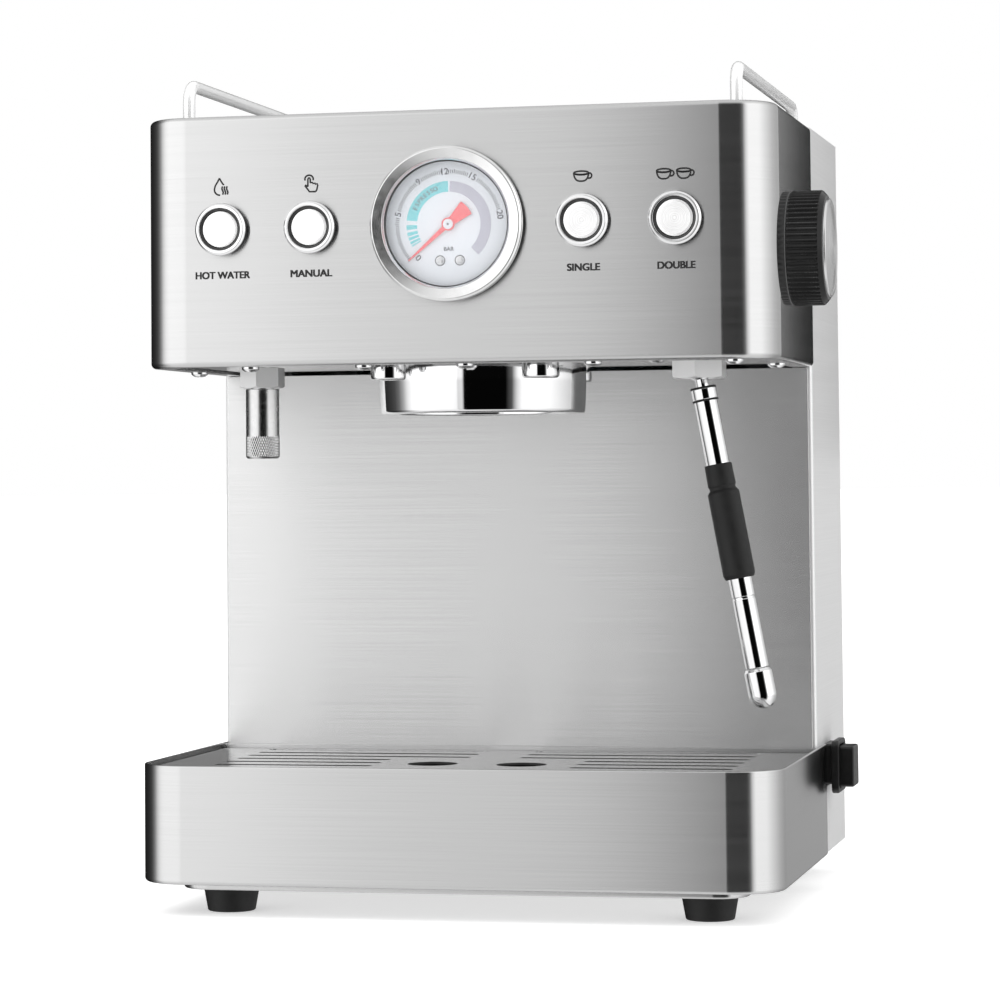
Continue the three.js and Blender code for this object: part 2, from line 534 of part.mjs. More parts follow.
// ---------------------------------------------------------------- brew group
function brewGroup() {
  const { y, bottom, top, radius, lipRadius, bore, ceiling } = GROUP;
  const profile = [
    [BOILER.neck + GAP, ceiling], [bore, ceiling], [bore, bottom + GROUP_RIM.inner],
    [bore + GROUP_RIM.inner, bottom], [lipRadius - GROUP_RIM.outer, bottom],
    [lipRadius, bottom + GROUP_RIM.outer], [radius, GROUP_BOSS.bottom], [radius, top],
    [BOILER.neck + GAP, top], [BOILER.neck + GAP, ceiling],
  ];
  const bosses = [-1, 1].flatMap((sx) => [-1, 1].map((sy) => alongZ(disc(GROUP_BOSS.radius, GROUP_BOSS.bottom,
    top, SMALL_ROUND)).translate(sx * GROUP_BOSS.x, sy * GROUP_BOSS.y, 0)));
  const inside = alongZ(disc(bore, bottom - OVERLAP, ceiling, ROUND));
  const collar = subtract(unite(alongZ(turned(profile)), ...bosses), inside);
  add('group_collar', collar, chrome(), [0, y, 0]);
  add('group_gasket', alongZ(ring(GASKET.outer, GASKET.inner, GASKET.bottom, ceiling - GAP, SMALL_ROUND)),
    blackRubber(), [0, y, 0]);
  const { bottom: low, thickness, screw, screwHead, neck } = SCREEN;
  const screen = [
    [0, low - screwHead], [screw, low - screwHead], [screw, low], [SCREEN.radius, low],
    [SCREEN.radius, low + thickness],
    [neck, low + thickness], [neck, ceiling - GAP], [0, ceiling - GAP],
  ];
  add('shower_screen', alongZ(turned(screen, SMALL_ROUND)), brushedSteel(), [0, y, 0]);
}

function boiler() {
  const { radius, lidRadius, lid, bottom, top, ease, neck, neckEnd } = BOILER;
  const profile = [
    [0, neckEnd], [neck, neckEnd], [neck, bottom], [radius - ease, bottom], [radius, bottom + ease],
    [radius, top - lid], [lidRadius, top - lid], [lidRadius, top], [0, top],
  ];
  add('boiler', alongZ(turned(profile, SMALL_ROUND)), castAluminium(), [0, GROUP.y, 0]);
}

// ---------------------------------------------------------------- hot water spout
function hotWaterSpout() {
  const { x, y, bottom, shoulder, top } = SPOUT;
  const { radius, neck, bore, ease } = SPOUT_BORE;
  const place = [x, y, 0];
  add('hot_water_nut', hexRing(SPOUT_NUT.corner, SPOUT_NUT.bore, SPOUT_NUT.bottom, UNDER_PLATE.bottom - GAP),
    brushedSteel(), place);
  const profile = [
    [bore, bottom], [radius - ease, bottom], [radius, bottom + ease], [radius, shoulder], [neck, shoulder],
    [neck, top], [bore, top], [bore, bottom],
  ];
  add('hot_water_spout', alongZ(turned(profile, SMALL_ROUND)), chrome(), place);
}

// ---------------------------------------------------------------- steam wand
// Wand pieces are turned about their own axis, measured down from the middle of the ball.
function wandPiece(name, points, segments, look) {
  const down = points.map(([r, t]) => [r, -t]);
  const piece = alongZ(turned(down, segments)).rotateY(-THREE.MathUtils.degToRad(WAND.lean));
  add(name, piece, look, [WAND.x, WAND.y, WAND.z]);
}

function steamWand() {
  const { ball, neck } = WAND;
  const { radius: tube, start: tubeStart, end: tubeEnd } = WAND_TUBE;
  add('wand_block', hexRing(WAND_BLOCK.corner, WAND_BLOCK.bore, WAND_BLOCK.bottom, UNDER_PLATE.bottom - GAP),
    brushedSteel(), [WAND.x, WAND.y, 0]);
  add('wand_socket', alongZ(ring(WAND_SOCKET.outer, WAND_SOCKET.inner, WAND_SOCKET.bottom, WAND_SOCKET.top,
    SMALL_ROUND)), blackPlastic(), [WAND.x, WAND.y, 0]);
  const neckAngle = Math.asin(neck / ball);
  const sphere = Array.from({ length: BALL_STEPS + 1 }, (_, k) => {
    const angle = Math.PI - (k / BALL_STEPS) * (Math.PI - neckAngle);
    return [ball * Math.sin(angle), ball * Math.cos(angle)];
  });
  sphere[0][0] = 0;
  wandPiece('wand_tube', [
    ...sphere, [neck, tubeStart], [tube - WAND_EASE, tubeStart], [tube, tubeStart + WAND_EASE],
    [tube, tubeEnd], [0, tubeEnd],
  ], SMALL_ROUND, chrome());
  const { start, neckEnd, flare, end, ease } = WAND_GRIP;
  const { bore, neck: neckRadius, body: radius } = WAND_GRIP_RADII;
  wandPiece('wand_grip', [
    [bore, start], [neckRadius - WAND_EASE, start], [neckRadius, neckEnd], [radius, neckEnd + flare],
    [radius, end - ease], [radius - ease, end], [bore, end], [bore, start],
  ], SMALL_ROUND, blackRubber());
  const tipStart = tubeEnd + GAP;
  const tipEnd = tipStart + WAND_TIP.length;
  const { radius: tip, ease: tipEase, noseSteps } = WAND_TIP;
  const nose = Array.from({ length: noseSteps + 1 }, (_, k) => {
    const angle = (k / noseSteps) * Math.PI / 2;
    return [tip * Math.cos(angle), tipEnd - tip * (1 - Math.sin(angle))];
  });
  nose[noseSteps][0] = 0;
  wandPiece('wand_tip', [[0, tipStart], [tip - tipEase, tipStart], [tip, tipStart + tipEase], ...nose],
    SMALL_ROUND, chrome());
}

// ---------------------------------------------------------------- water tank
function waterTank() {
  const { halfWidth, front, rear, bottom, top, wall, corner } = TANK;
  const outer = slab(rounded(-halfWidth, halfWidth, front, rear, corner), bottom, top, 2);
  const inner = slab(rounded(-halfWidth + wall, halfWidth - wall, front + wall, rear - wall, corner - wall),
    bottom + wall, top + PAST, 2);
  const ears = [-1, 1].map((side) => {
    const x = side * (LID_PIN.length / 2 - TANK_EAR.fromEnd);
    return box(x - TANK_EAR.halfWidth, x + TANK_EAR.halfWidth, rear - wall, LID_PIN.y + TANK_EAR.beyondPin,
      top - TANK_EAR.down, LID_PIN.z + TANK_EAR.beyondPin);
  });
  const pinHoles = alongX(disc(LID_PIN.radius + GAP, -LID_PIN.length, LID_PIN.length, TINY_ROUND))
    .translate(0, LID_PIN.y, LID_PIN.z);
  add('water_tank', subtract(unite(outer, ...ears), inner, pinHoles), material(0xaebcc2, 0.15, 0));
}

function tankLid() {
  const { halfWidth, front, rear, bottom, thickness, corner } = TANK_LID;
  const sheet = slab(rounded(-halfWidth, halfWidth, front, rear, corner), bottom, bottom + thickness);
  const reach = LID_PIN.length / 2 - LID_PIN.knuckleShort;
  const knuckle = alongX(disc(LID_PIN.knuckle, -reach, reach, SMALL_ROUND)).translate(0, LID_PIN.y, LID_PIN.z);
  const grip = box(-LID_GRIP.halfWidth, LID_GRIP.halfWidth, front, front + LID_GRIP.depth,
    bottom + thickness - OVERLAP, bottom + thickness + LID_GRIP.height);
  const notches = [-1, 1].map((side) => {
    const x = side * (LID_PIN.length / 2 - TANK_EAR.fromEnd);
    return box(x - TANK_EAR.notchHalf, x + TANK_EAR.notchHalf, TANK.rear - TANK.wall - TANK_EAR.notchBack,
      rear + PAST, bottom - PAST, bottom + TANK_EAR.notchTop);
  });
  const pin = alongX(disc(LID_PIN.radius, -LID_PIN.length / 2, LID_PIN.length / 2, TINY_ROUND))
    .translate(0, LID_PIN.y, LID_PIN.z);
  add('tank_lid', unite(subtract(unite(sheet, knuckle, grip), ...notches), pin), blackPlastic());
}

function tankSeat() {
  const innerHalf = COLUMN.halfWidth - SHEET - GAP;
  const shelfTop = SHELF.bottom + SHELF.thickness;
  const shelf = box(-innerHalf, innerHalf, COLUMN.front + SHEET + GAP, COLUMN.rear - SHEET - GAP, SHELF.bottom,
    shelfTop);
  const spigotHole = alongZ(disc(TANK_SEAT.spigot + GAP, 0, WIDE, SMALL_ROUND)).translate(0, TANK_SEAT.y, 0);
  const pipeHole = alongZ(disc(PIPE.hole, 0, WIDE, TINY_ROUND)).translate(RISER.x, RISER.y, 0);
  add('tank_shelf', subtract(shelf, spigotHole, pipeHole), castAluminium());
  const profile = [
    [0, TANK_SEAT.spigotEnd], [TANK_SEAT.spigot, TANK_SEAT.spigotEnd], [TANK_SEAT.spigot, shelfTop + GAP],
    [TANK_SEAT.radius, shelfTop + GAP], [TANK_SEAT.radius, TANK_SEAT.top], [0, TANK_SEAT.top],
  ];
  add('tank_seat', alongZ(turned(profile, SMALL_ROUND)), blackRubber(), [0, TANK_SEAT.y, 0]);
}

// ---------------------------------------------------------------- works inside
function pump() {
  const { x0, x1, y, z, coil, fitting, inletEnd, outletEnd } = PUMP;
  const bodyBox = box(x0, x1, y - coil, y + coil, z - coil, z + coil);
  const nozzle = alongX(disc(fitting, outletEnd, inletEnd, SMALL_ROUND)).translate(0, y, z);
  add('pump', unite(bodyBox, nozzle), castAluminium());
  const seat = FLOOR_PLATE.top + GAP;
  const middle = (x0 + x1) / 2;
  const { height, radius, x: footX, strapInset } = PUMP_FEET;
  const strap = box(x0 + strapInset, x1 - strapInset, y - coil, y + coil, seat + height, z - coil - GAP);
  const mounts = [-1, 1].map((side) => alongZ(disc(radius, seat, seat + height + OVERLAP, SMALL_ROUND))
    .translate(middle + side * footX, y, 0));
  add('pump_mount', unite(strap, ...mounts), blackRubber());
}

function controlBoard() {
  const { x0, x1, y, thickness, z0, z1 } = BOARD;
  const board = box(x0, x1, y, y + thickness, z0, z1);
  const [relay, transformer] = [RELAY, TRANSFORMER].map((part) =>
    box(part.x0, part.x1, y - part.depth, y + BOARD_SINK, part.z0, part.z1));
  add('control_board', unite(board, relay, transformer), material(0x2d6b45, 0.6, 0));
}

// Each pipe's way-points, from one fitting to the next.
function pipes() {
  const lidTop = BOILER.top + GAP;
  const { bend, level: run, drop } = PIPE_RUN;
  const valveTop = KNOB.z + VALVE.half + GAP;
  const valveBottom = KNOB.z - VALVE.half - GAP;
  const valveX = (VALVE.x0 + VALVE.x1) / 2;
  add('brew_pipe', pipe([
    [PUMP.outletEnd - GAP, PUMP.y, PUMP.z], [PUMP.outletEnd - 5, PUMP.y, PUMP.z],
    [RISER.x - 4, PUMP.y - 16, PUMP.z + 10], [RISER.x, RISER.y, PUMP.z + 28], [RISER.x, RISER.y, SHELF.bottom + 30],
    [RISER.x, RISER.y, BOILER.top - 16], [RISER.x + 6, RISER.y - 8, lidTop], [-60, 100, run], [-20, 78, run],
    [-12, 74, bend], [-12, 74, lidTop],
  ]), castAluminium());
  add('steam_pipe', pipe([
    [14, 58, lidTop], [14, 58, bend], [24, 56, run], [66, 47, run], [valveX - 8, 36, drop],
    [valveX, KNOB.y, valveTop + 14], [valveX, KNOB.y, valveTop],
  ]), brushedSteel());
  add('wand_pipe', pipe([
    [valveX, KNOB.y, valveBottom], [valveX, KNOB.y, valveBottom - 8], [valveX - 10, 46, valveBottom - 16],
    [WAND.x, WAND.y, WAND.z + 16], [WAND.x, WAND.y, WAND.z + 9],
  ]), brushedSteel());
  add('hot_water_pipe', pipe([
    [-14, 54, lidTop], [-14, 54, bend], [-24, 53, run], [-66, 55, run], [-94, 58, drop],
    [SPOUT.x, SPOUT.y, lidTop - 20], [SPOUT.x, SPOUT.y, SPOUT.top + GAP],
  ]), brushedSteel());
  const hoseEnd = PUMP.inletEnd + GAP;
  add('suction_hose', pipe([
    [0, TANK_SEAT.y, TANK_SEAT.spigotEnd - GAP], [0, TANK_SEAT.y, TANK_SEAT.spigotEnd - 7],
    [6, TANK_SEAT.y - 5, PUMP.z + 9], [hoseEnd + 9, PUMP.y, PUMP.z], [hoseEnd, PUMP.y, PUMP.z],
  ], HOSE_RADIUS), material(0xd5d9da, 0.4, 0));
}

// ---------------------------------------------------------------- power
function powerSwitch() {
  const { y0, y1, z0, z1, neckOuter, flangeOuter, neckInner } = SWITCH;
  const flange = box(neckOuter, flangeOuter, y0, y1, z0, z1);
  const neck = box(neckInner, neckOuter + OVERLAP / 2, SWITCH_NECK.y0, SWITCH_NECK.y1, SWITCH_NECK.z0,
    SWITCH_NECK.z1);
  const well = box(neckOuter, flangeOuter + PAST, SWITCH_WELL.y0, SWITCH_WELL.y1, SWITCH_WELL.z0, SWITCH_WELL.z1);
  const middleY = (SWITCH_WELL.y0 + SWITCH_WELL.y1) / 2;
  const middleZ = (SWITCH_WELL.z0 + SWITCH_WELL.z1) / 2;
  const { margin, inner, outer, stem, stemEnd, stemRoom } = SWITCH_CAP;
  const stemBox = (grow) => box(stemEnd - stemRoom * grow, inner + OVERLAP, middleY - stem - grow * GAP,
    middleY + stem + grow * GAP, middleZ - stem - grow * GAP, middleZ + stem + grow * GAP);
  add('power_switch_body', subtract(unite(flange, neck), well, stemBox(1)), blackPlastic());
  const cap = box(inner, outer, SWITCH_WELL.y0 + margin, SWITCH_WELL.y1 - margin, SWITCH_WELL.z0 + margin,
    SWITCH_WELL.z1 - margin);
  add('power_button', unite(cap, stemBox(0)), blackPlastic());
}

function mainsInlet() {
  const { x0, x1, z0, z1, proud, gap, depth, wall, ear } = INLET;
  const flange = box(x0, x1, COLUMN.rear + gap, COLUMN.rear + proud, z0, z1);
  const side = wall + ear + GAP;
  const bodyBox = box(x0 + side, x1 - side, COLUMN.rear - depth, COLUMN.rear + OVERLAP / 2, z0 + wall, z1 - wall);
  const mouth = box(INLET_MOUTH.x0, INLET_MOUTH.x1, COLUMN.rear + proud - INLET_MOUTH.depth,
    COLUMN.rear + PAST, INLET_MOUTH.z0, INLET_MOUTH.z1);
  const middleZ = (INLET_MOUTH.z0 + INLET_MOUTH.z1) / 2;
  const { pitch, halfWidth, halfHeight, rise, recess } = INLET_BLADE;
  const blades = [-1, 0, 1].map((place) => {
    const x = (x0 + x1) / 2 + place * pitch;
    const z = middleZ + (place === 0 ? rise : -rise);
    return box(x - halfWidth, x + halfWidth, COLUMN.rear - INLET_MOUTH.depth, COLUMN.rear - recess, z - halfHeight,
      z + halfHeight);
  });
  const socket = subtract(unite(flange, bodyBox), mouth);
  add('mains_inlet', unite(socket, ...blades), blackPlastic());
}

// ---------------------------------------------------------------- assembly
headShell();
headUnderPlate();
topCover();
cupRail('cup_rail_left', -1);
cupRail('cup_rail_right', 1);
sidePanel('side_panel_left', -1);
sidePanel('side_panel_right', 1);
rearPanel();
splashPlate();
baseShell();
floorPlate();
feet();
dripGrate();
dripBasin();
gauge();
BUTTON_NAMES.forEach((label, k) => pushButton(label, BUTTON.xs[k]));
steamKnob();
steamValve();
brewGroup();
boiler();
hotWaterSpout();
steamWand();
waterTank();
tankLid();
tankSeat();
pump();
controlBoard();
pipes();
powerSwitch();
mainsInlet();

export default group;
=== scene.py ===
"""Espresso machine: the looks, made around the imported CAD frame.

Sizes are in millimetres and become metres as a mesh is made. Places come from the CAD boxes.
A profile is a list of (radius, height) points, and a third number is the radius of a rounded corner.
"""
import json
import math

import bmesh
import bpy
from mathutils import Matrix, Vector

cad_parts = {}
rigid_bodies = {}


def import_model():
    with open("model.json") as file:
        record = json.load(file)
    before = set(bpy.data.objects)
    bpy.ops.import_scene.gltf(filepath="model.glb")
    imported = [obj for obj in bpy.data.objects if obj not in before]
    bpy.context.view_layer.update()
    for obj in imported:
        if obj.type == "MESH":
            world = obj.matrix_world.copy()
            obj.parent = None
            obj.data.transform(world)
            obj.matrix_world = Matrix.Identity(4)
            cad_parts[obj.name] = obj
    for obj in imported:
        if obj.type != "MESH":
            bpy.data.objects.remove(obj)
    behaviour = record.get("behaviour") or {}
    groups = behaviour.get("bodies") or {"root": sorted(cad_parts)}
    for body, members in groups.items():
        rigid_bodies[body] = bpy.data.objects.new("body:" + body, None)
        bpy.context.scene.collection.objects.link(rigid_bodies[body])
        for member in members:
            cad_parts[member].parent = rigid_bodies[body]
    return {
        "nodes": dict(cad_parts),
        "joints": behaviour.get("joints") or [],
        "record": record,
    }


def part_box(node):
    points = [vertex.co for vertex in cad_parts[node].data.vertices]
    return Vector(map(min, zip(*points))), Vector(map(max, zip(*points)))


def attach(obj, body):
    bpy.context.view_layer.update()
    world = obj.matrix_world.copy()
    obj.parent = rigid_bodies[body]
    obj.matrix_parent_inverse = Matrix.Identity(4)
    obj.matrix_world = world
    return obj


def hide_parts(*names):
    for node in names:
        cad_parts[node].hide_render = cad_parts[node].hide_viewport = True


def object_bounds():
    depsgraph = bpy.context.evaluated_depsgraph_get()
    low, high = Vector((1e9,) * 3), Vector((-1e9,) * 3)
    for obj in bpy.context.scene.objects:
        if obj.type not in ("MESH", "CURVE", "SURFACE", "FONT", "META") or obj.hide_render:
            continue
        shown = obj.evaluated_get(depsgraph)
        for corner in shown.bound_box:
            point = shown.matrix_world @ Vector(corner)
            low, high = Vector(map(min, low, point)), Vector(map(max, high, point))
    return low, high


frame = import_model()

CAD_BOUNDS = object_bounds()
RECORD = frame["record"]
BODY_OF = {node: body for body, nodes in RECORD["behaviour"]["bodies"].items() for node in nodes}
SLOT_OF = {part["node"]: part["material_slot"] for part in RECORD["subparts"]}
SCENE = bpy.context.scene
MM = 0.001
MICRON = 0.000001
SHEET = 1.2                # thickness of the steel sheet
HEAD_CORNER = 22.5         # front corners of the head and of the base, seen from above
BASE_CORNER = 22.5
COVER_INSET = 1.6          # how much tighter the corners of the head's top and under plates are
WAND_LEAN = 10.36          # degrees that the steam wand leans to the left at rest
TIP_DOWN = 144.9           # from the wand's ball to the middle of its round tip
TIP_RADIUS = 6.1
RIBS = 60                  # ribs round the steam knob
KNURLS = 40                # knurls round the spout's collar, each way
DIAL_BAND = (14.0, 18.7)   # inner and outer radius of the dial's coloured bands
DIAL_SCREW_DROP = 15.6     # the dial's two screws, below its centre
INK_LIFT = 0.02            # how far a print on the head stands off it
LABEL_DROP = 19.8          # a button's word below its centre, and its picture above
ICON_RISE = 19.0
FLAG_REACH = 0.036         # metres: how far the dark card stands out to the right, and its place and size
FLAG_BEHIND = 0.175
FLAG_WIDTH = 0.05
FLAG_HEIGHT = 0.7
FLAG_LOW = 0.2
FINE = 96                  # steps round a turned piece
GAUGE_HOLE = 31.3          # radii of the holes in the head's front
BUTTON_HOLE = 9.7
BUTTONS = ("hot_water", "manual", "single_cup", "double_cup")
SIDES = ("left", "right")
# The studio: (degrees from straight in front, positive to the right; brightness).
PANELS = (
    (-180, 0.05), (-150, 0.01), (-123, 0.03), (-112, 0.05), (-104, 0.08), (-96, 0.18), (-88, 0.48),
    (-81, 1.0), (-73, 1.38), (-63, 1.54), (-26, 1.54), (-17, 1.40), (-16.2, 1.1), (-15.5, 0.98),
    (-13.5, 1.0), (-11.5, 1.04), (-10.6, 0.98), (-9.9, 0.76), (-9.5, 0.45), (-9.1, 0.12), (-8.7, 0.01),
    (-8.2, 0.002), (38, 0.002), (45, 0.12), (51, 0.95), (58, 1.52), (85, 1.5), (103, 1.15),
    (128, 0.75), (150, 0.55), (180, 0.45))
RISE = 2.6                 # how much brighter the panels are toward the top, per unit of height on the sphere
RISE_LEVEL = 1.05          # their share of brightness at eye level, and the least and most it can be
RISE_LIMITS = (0.75, 1.12)
CAMERA_PLACE = (0.33341, -1.55612, 0.1864)
CAMERA_TURN = (0.227844, 0.0513955, -0.0089124)    # yaw, pitch and roll, in radians
CAMERA_SHIFT = (0.0323, -0.19675)


def span(node):
    """The lowest and highest corners of a CAD node, in millimetres."""
    low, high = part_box(node)
    return low / MM, high / MM


def extent(node):
    """The lowest and highest corners of a CAD node and its middle, in millimetres."""
    low, high = span(node)
    return low, high, (low + high) / 2


def middle(node):
    return extent(node)[2]


# --- materials
def add_node(tree, kind, inputs=None, **settings):
    """A node with its settings, and with its inputs set to values or linked to sockets."""
    node = tree.nodes.new("ShaderNode" + kind)
    for name, value in settings.items():
        setattr(node, name, value)
    for key, value in (inputs or {}).items():
        if isinstance(value, bpy.types.NodeSocket):
            tree.links.new(value, node.inputs[key])
        else:
            node.inputs[key].default_value = value
    return node


class Look:
    """A material and short calls that add nodes to it. A colour given as one number is a grey."""

    def __init__(self, name, **values):
        self.material = bpy.data.materials.new(name)
        self.material.use_nodes = True
        self.tree = self.material.node_tree
        self.shader = self.tree.nodes["Principled BSDF"]
        for key, value in values.items():
            self.shader.inputs[key.replace("_", " ").title().replace("Ior", "IOR")].default_value = value

    def add(self, kind, inputs=None, **settings):
        return add_node(self.tree, kind, inputs, **settings).outputs

    def link(self, source, socket):
        self.tree.links.new(source, self.shader.inputs[socket])
        return self

    def noise(self, stretch, detail=3.0):
        """Noise in the piece's own metres; stretch is how many features fit in a metre each way."""
        mapped = self.add("Mapping", {"Vector": self.add("TexCoord")["Object"], "Scale": stretch})["Vector"]
        noise = self.add("TexNoise", {"Vector": mapped, "Scale": 1.0, "Detail": detail, "Roughness": 0.55})
        return noise["Fac"]

    def between(self, fac, low, high):
        """A number that runs from low to high as the noise goes through its usual range."""
        return self.add("MapRange", {"Value": fac, "From Min": 0.3, "From Max": 0.7, "To Min": low,
                                     "To Max": high})["Result"]

    def tint(self, fac, dark, light):
        """A colour between two others, by the noise."""
        dark, light = ((shade,) * 3 if isinstance(shade, float) else shade for shade in (dark, light))
        mix = self.add("Mix", {0: self.between(fac, 0.0, 1.0), 6: (*dark, 1), 7: (*light, 1)}, data_type="RGBA")
        return self.link(mix[2], "Base Color")

    def rough(self, fac, low, high):
        return self.link(self.between(fac, low, high), "Roughness")

    def bump(self, fac, microns, strength=1.0):
        """Raises the surface by the noise."""
        bump = self.add("Bump", {"Height": fac, "Distance": microns * MICRON, "Strength": strength})
        return self.link(bump["Normal"], "Normal")


def brushed_steel(name, flat=False, low=0.21, high=0.235, shade=(0.600, 0.636), grain=1.0, metallic=1.0):
    """Sheet steel brushed along X and Y; flat is for one made lying level, brushed along X."""
    along, across = 9.0, 3000.0
    look = Look(name, metallic=metallic, anisotropic=grain)
    fine = (along, across, along) if flat else (along, along, across)
    wide = (along / 5, across / 9, along / 5) if flat else (along / 5, along / 5, across / 9)
    lines = look.noise(fine, detail=2.0)
    look.tint(lines, *shade).rough(look.noise(wide), low, high).bump(lines, 1, 0.5)
    return look.link(look.add("CombineXYZ", {"X": 0.0, "Y": 0.05, "Z": 1.0})["Vector"], "Tangent").material


def spun_steel(name, shade, metallic=1.0):
    """Steel turned on a lathe: fine rings round the piece's own Z axis."""
    look = Look(name, metallic=metallic, anisotropic=0.8, anisotropic_rotation=0.25)
    flat = look.add("VectorMath", {0: look.add("TexCoord")["Object"], 1: (1, 1, 0)}, operation="MULTIPLY")[0]
    radius = look.add("VectorMath", {0: flat}, operation="LENGTH")["Value"]
    rings = look.add("TexNoise", {"W": radius, "Scale": 3200.0, "Detail": 2.0}, noise_dimensions="1D")["Fac"]
    look.link(look.add("Tangent", direction_type="RADIAL", axis="Z")["Tangent"], "Tangent")
    return look.tint(rings, *shade).rough(rings, 0.22, 0.32).bump(rings, 6, 0.4).material


def metal(name, dark, light, rough_low, rough_high, grain, microns=0):
    look = Look(name, metallic=1.0)
    fac = look.noise((grain,) * 3)
    look.tint(fac, dark, light).rough(fac, rough_low, rough_high)
    return (look.bump(look.noise((grain * 6,) * 3), microns) if microns else look).material


def moulded(name, dark, light, rough_low, rough_high, grain, microns, **values):
    """Plastic or rubber with a fine moulded grain."""
    look = Look(name, **values)
    fac = look.noise((grain / 12,) * 3)
    look.tint(fac, dark, light).rough(fac, rough_low, rough_high)
    return look.bump(look.noise((grain,) * 3, detail=1.5), microns).material


LOOKS = {
    "brushed_steel": brushed_steel("brushed_steel"),
    "chrome": metal("chrome", (0.80, 0.80, 0.805), (0.86, 0.86, 0.865), 0.035, 0.07, 60.0),
    "black_plastic": moulded("black_plastic", 0.006, 0.010, 0.34, 0.44, 5200.0, 20,
                             specular_ior_level=0.45),
    "black_rubber": moulded("black_rubber", 0.005, 0.009, 0.52, 0.66, 4200.0, 30,
                            specular_ior_level=0.4),
    "cast_aluminium": metal("cast_aluminium", 0.50, (0.60, 0.60, 0.61), 0.42, 0.58, 180.0, 80),
    "brass": metal("brass", (0.60, 0.44, 0.20), (0.72, 0.55, 0.28), 0.22, 0.36, 240.0),
    "clear_glass": moulded("clear_glass", (0.92, 0.94, 0.98), (0.95, 0.965, 1.0), 0.02, 0.04, 900.0, 1,
                           alpha=0.12, ior=1.3),
    "clear_tank": moulded("clear_tank", (0.42, 0.46, 0.48), (0.50, 0.54, 0.56), 0.10, 0.16, 900.0, 10,
                          transmission_weight=0.85, ior=1.2),
    "dial_face": moulded("dial_face", (0.665, 0.69, 0.725), (0.69, 0.715, 0.75), 0.42, 0.5, 3000.0, 5),
    "needle_red": moulded("needle_red", (0.74, 0.03, 0.035), (0.80, 0.045, 0.05), 0.3, 0.4, 3000.0, 5),
    "circuit_board": moulded("circuit_board", (0.02, 0.13, 0.05), (0.03, 0.20, 0.08), 0.3, 0.5, 1500.0, 20),
    "silicone_hose": moulded("silicone_hose", (0.62, 0.64, 0.65), (0.72, 0.74, 0.75), 0.35, 0.5, 1500.0, 20,
                             transmission_weight=0.3),
}
LEVEL_STEEL = brushed_steel("level_brushed_steel", flat=True)
SPLASH_STEEL = brushed_steel("splash_steel", flat=True, shade=(0.67, 0.74), metallic=0.78)
# Painted shade: a near-black look for the walls inside the grate's slots, standing in for the shade that falls
# there.
SLOT_PAINTED_SHADE = moulded("slot_painted_shade", 0.02, 0.03, 0.5, 0.6, 900.0, 1)
KNOB_BLACK = moulded("knob_black", 0.004, 0.007, 0.18, 0.24, 2600.0, 1,
                     specular_ior_level=0.22)
SPUN_STEEL = spun_steel("spun_steel", (0.68, 0.80))
SATIN_STEEL = brushed_steel("satin_steel", low=0.40, high=0.46, shade=(0.76, 0.80), grain=0.75, metallic=0.5)
NUT_STEEL = moulded("nut_steel", 0.66, 0.72, 0.28, 0.34, 260.0, 0.5, metallic=0.55)
RAIL_STEEL = moulded("rail_steel", 0.94, 0.97, 0.18, 0.20, 60.0, 0.01, metallic=0.28)
RING_STEEL = metal("ring_steel", 0.74, 0.80, 0.13, 0.18, 300.0)
SPOUT_STEEL = metal("spout_steel", 0.56, 0.64, 0.22, 0.28, 300.0)
CAP_STEEL = spun_steel("cap_steel", (0.90, 0.97), metallic=0.5)
DARK_RING = moulded("dark_ring", 0.025, 0.04, 0.26, 0.34, 2600.0, 2)
INK = moulded("printed_ink", 0.008, 0.014, 0.5, 0.6, 3000.0, 2)
TEAL = moulded("dial_teal", (0.07, 0.51, 0.55), (0.09, 0.55, 0.59), 0.4, 0.5, 3000.0, 2)
TEAL_INK = moulded("dial_word", (0.01, 0.05, 0.06), (0.02, 0.07, 0.08), 0.4, 0.5, 3000.0, 2)
DIAL_GREY = moulded("dial_grey", (0.37, 0.36, 0.43), (0.41, 0.40, 0.47), 0.4, 0.5, 3000.0, 2)
DIAL_INK = moulded("dial_ink", (0.02, 0.02, 0.03), (0.03, 0.03, 0.04), 0.4, 0.5, 3000.0, 2)


# --- shapes
def arc(centre, radius, start, end, steps):
    """Points on an arc, with angles in degrees."""
    angles = [math.radians(start + (end - start) * k / steps) for k in range(steps + 1)]
    return [(centre[0] + radius * math.cos(a), centre[1] + radius * math.sin(a)) for a in angles]


def filleted(points, closed=False, steps=4):
    """A line of points in which a corner given as (a, b, radius) becomes an arc."""
    done = []
    for k, point in enumerate(points):
        here = Vector(point[:2])
        ends = k in (0, len(points) - 1) and not closed
        if len(point) == 2 or ends:
            done.append(tuple(here))
            continue
        to_last = (Vector(points[k - 1][:2]) - here).normalized()
        to_next = (Vector(points[(k + 1) % len(points)][:2]) - here).normalized()
        half = to_last.angle(to_next) / 2
        centre = here + (to_last + to_next).normalized() * point[2] / math.sin(half)
        first = here + to_last * point[2] / math.tan(half) - centre
        turn = first.angle_signed(here + to_next * point[2] / math.tan(half) - centre)
        for step in range(steps + 1):
            angle = -turn * step / steps
            spoke = Matrix.Rotation(angle, 2) @ first
            done.append(tuple(centre + spoke))
    return done


def front_rounded(low, high, radius, steps=14):
    """An open outline, from rear left round the front to rear right, at any inset."""
    def outline(inset):
        r = max(radius - inset, 0.4)
        x0, x1, y0 = low.x + inset, high.x - inset, low.y + inset
        left = arc((x0 + r, y0 + r), r, 180, 270, steps)
        right = arc((x1 - r, y0 + r), r, 270, 360, steps)
        return [(x0, high.y), *left, *right, (x1, high.y)]
    return outline


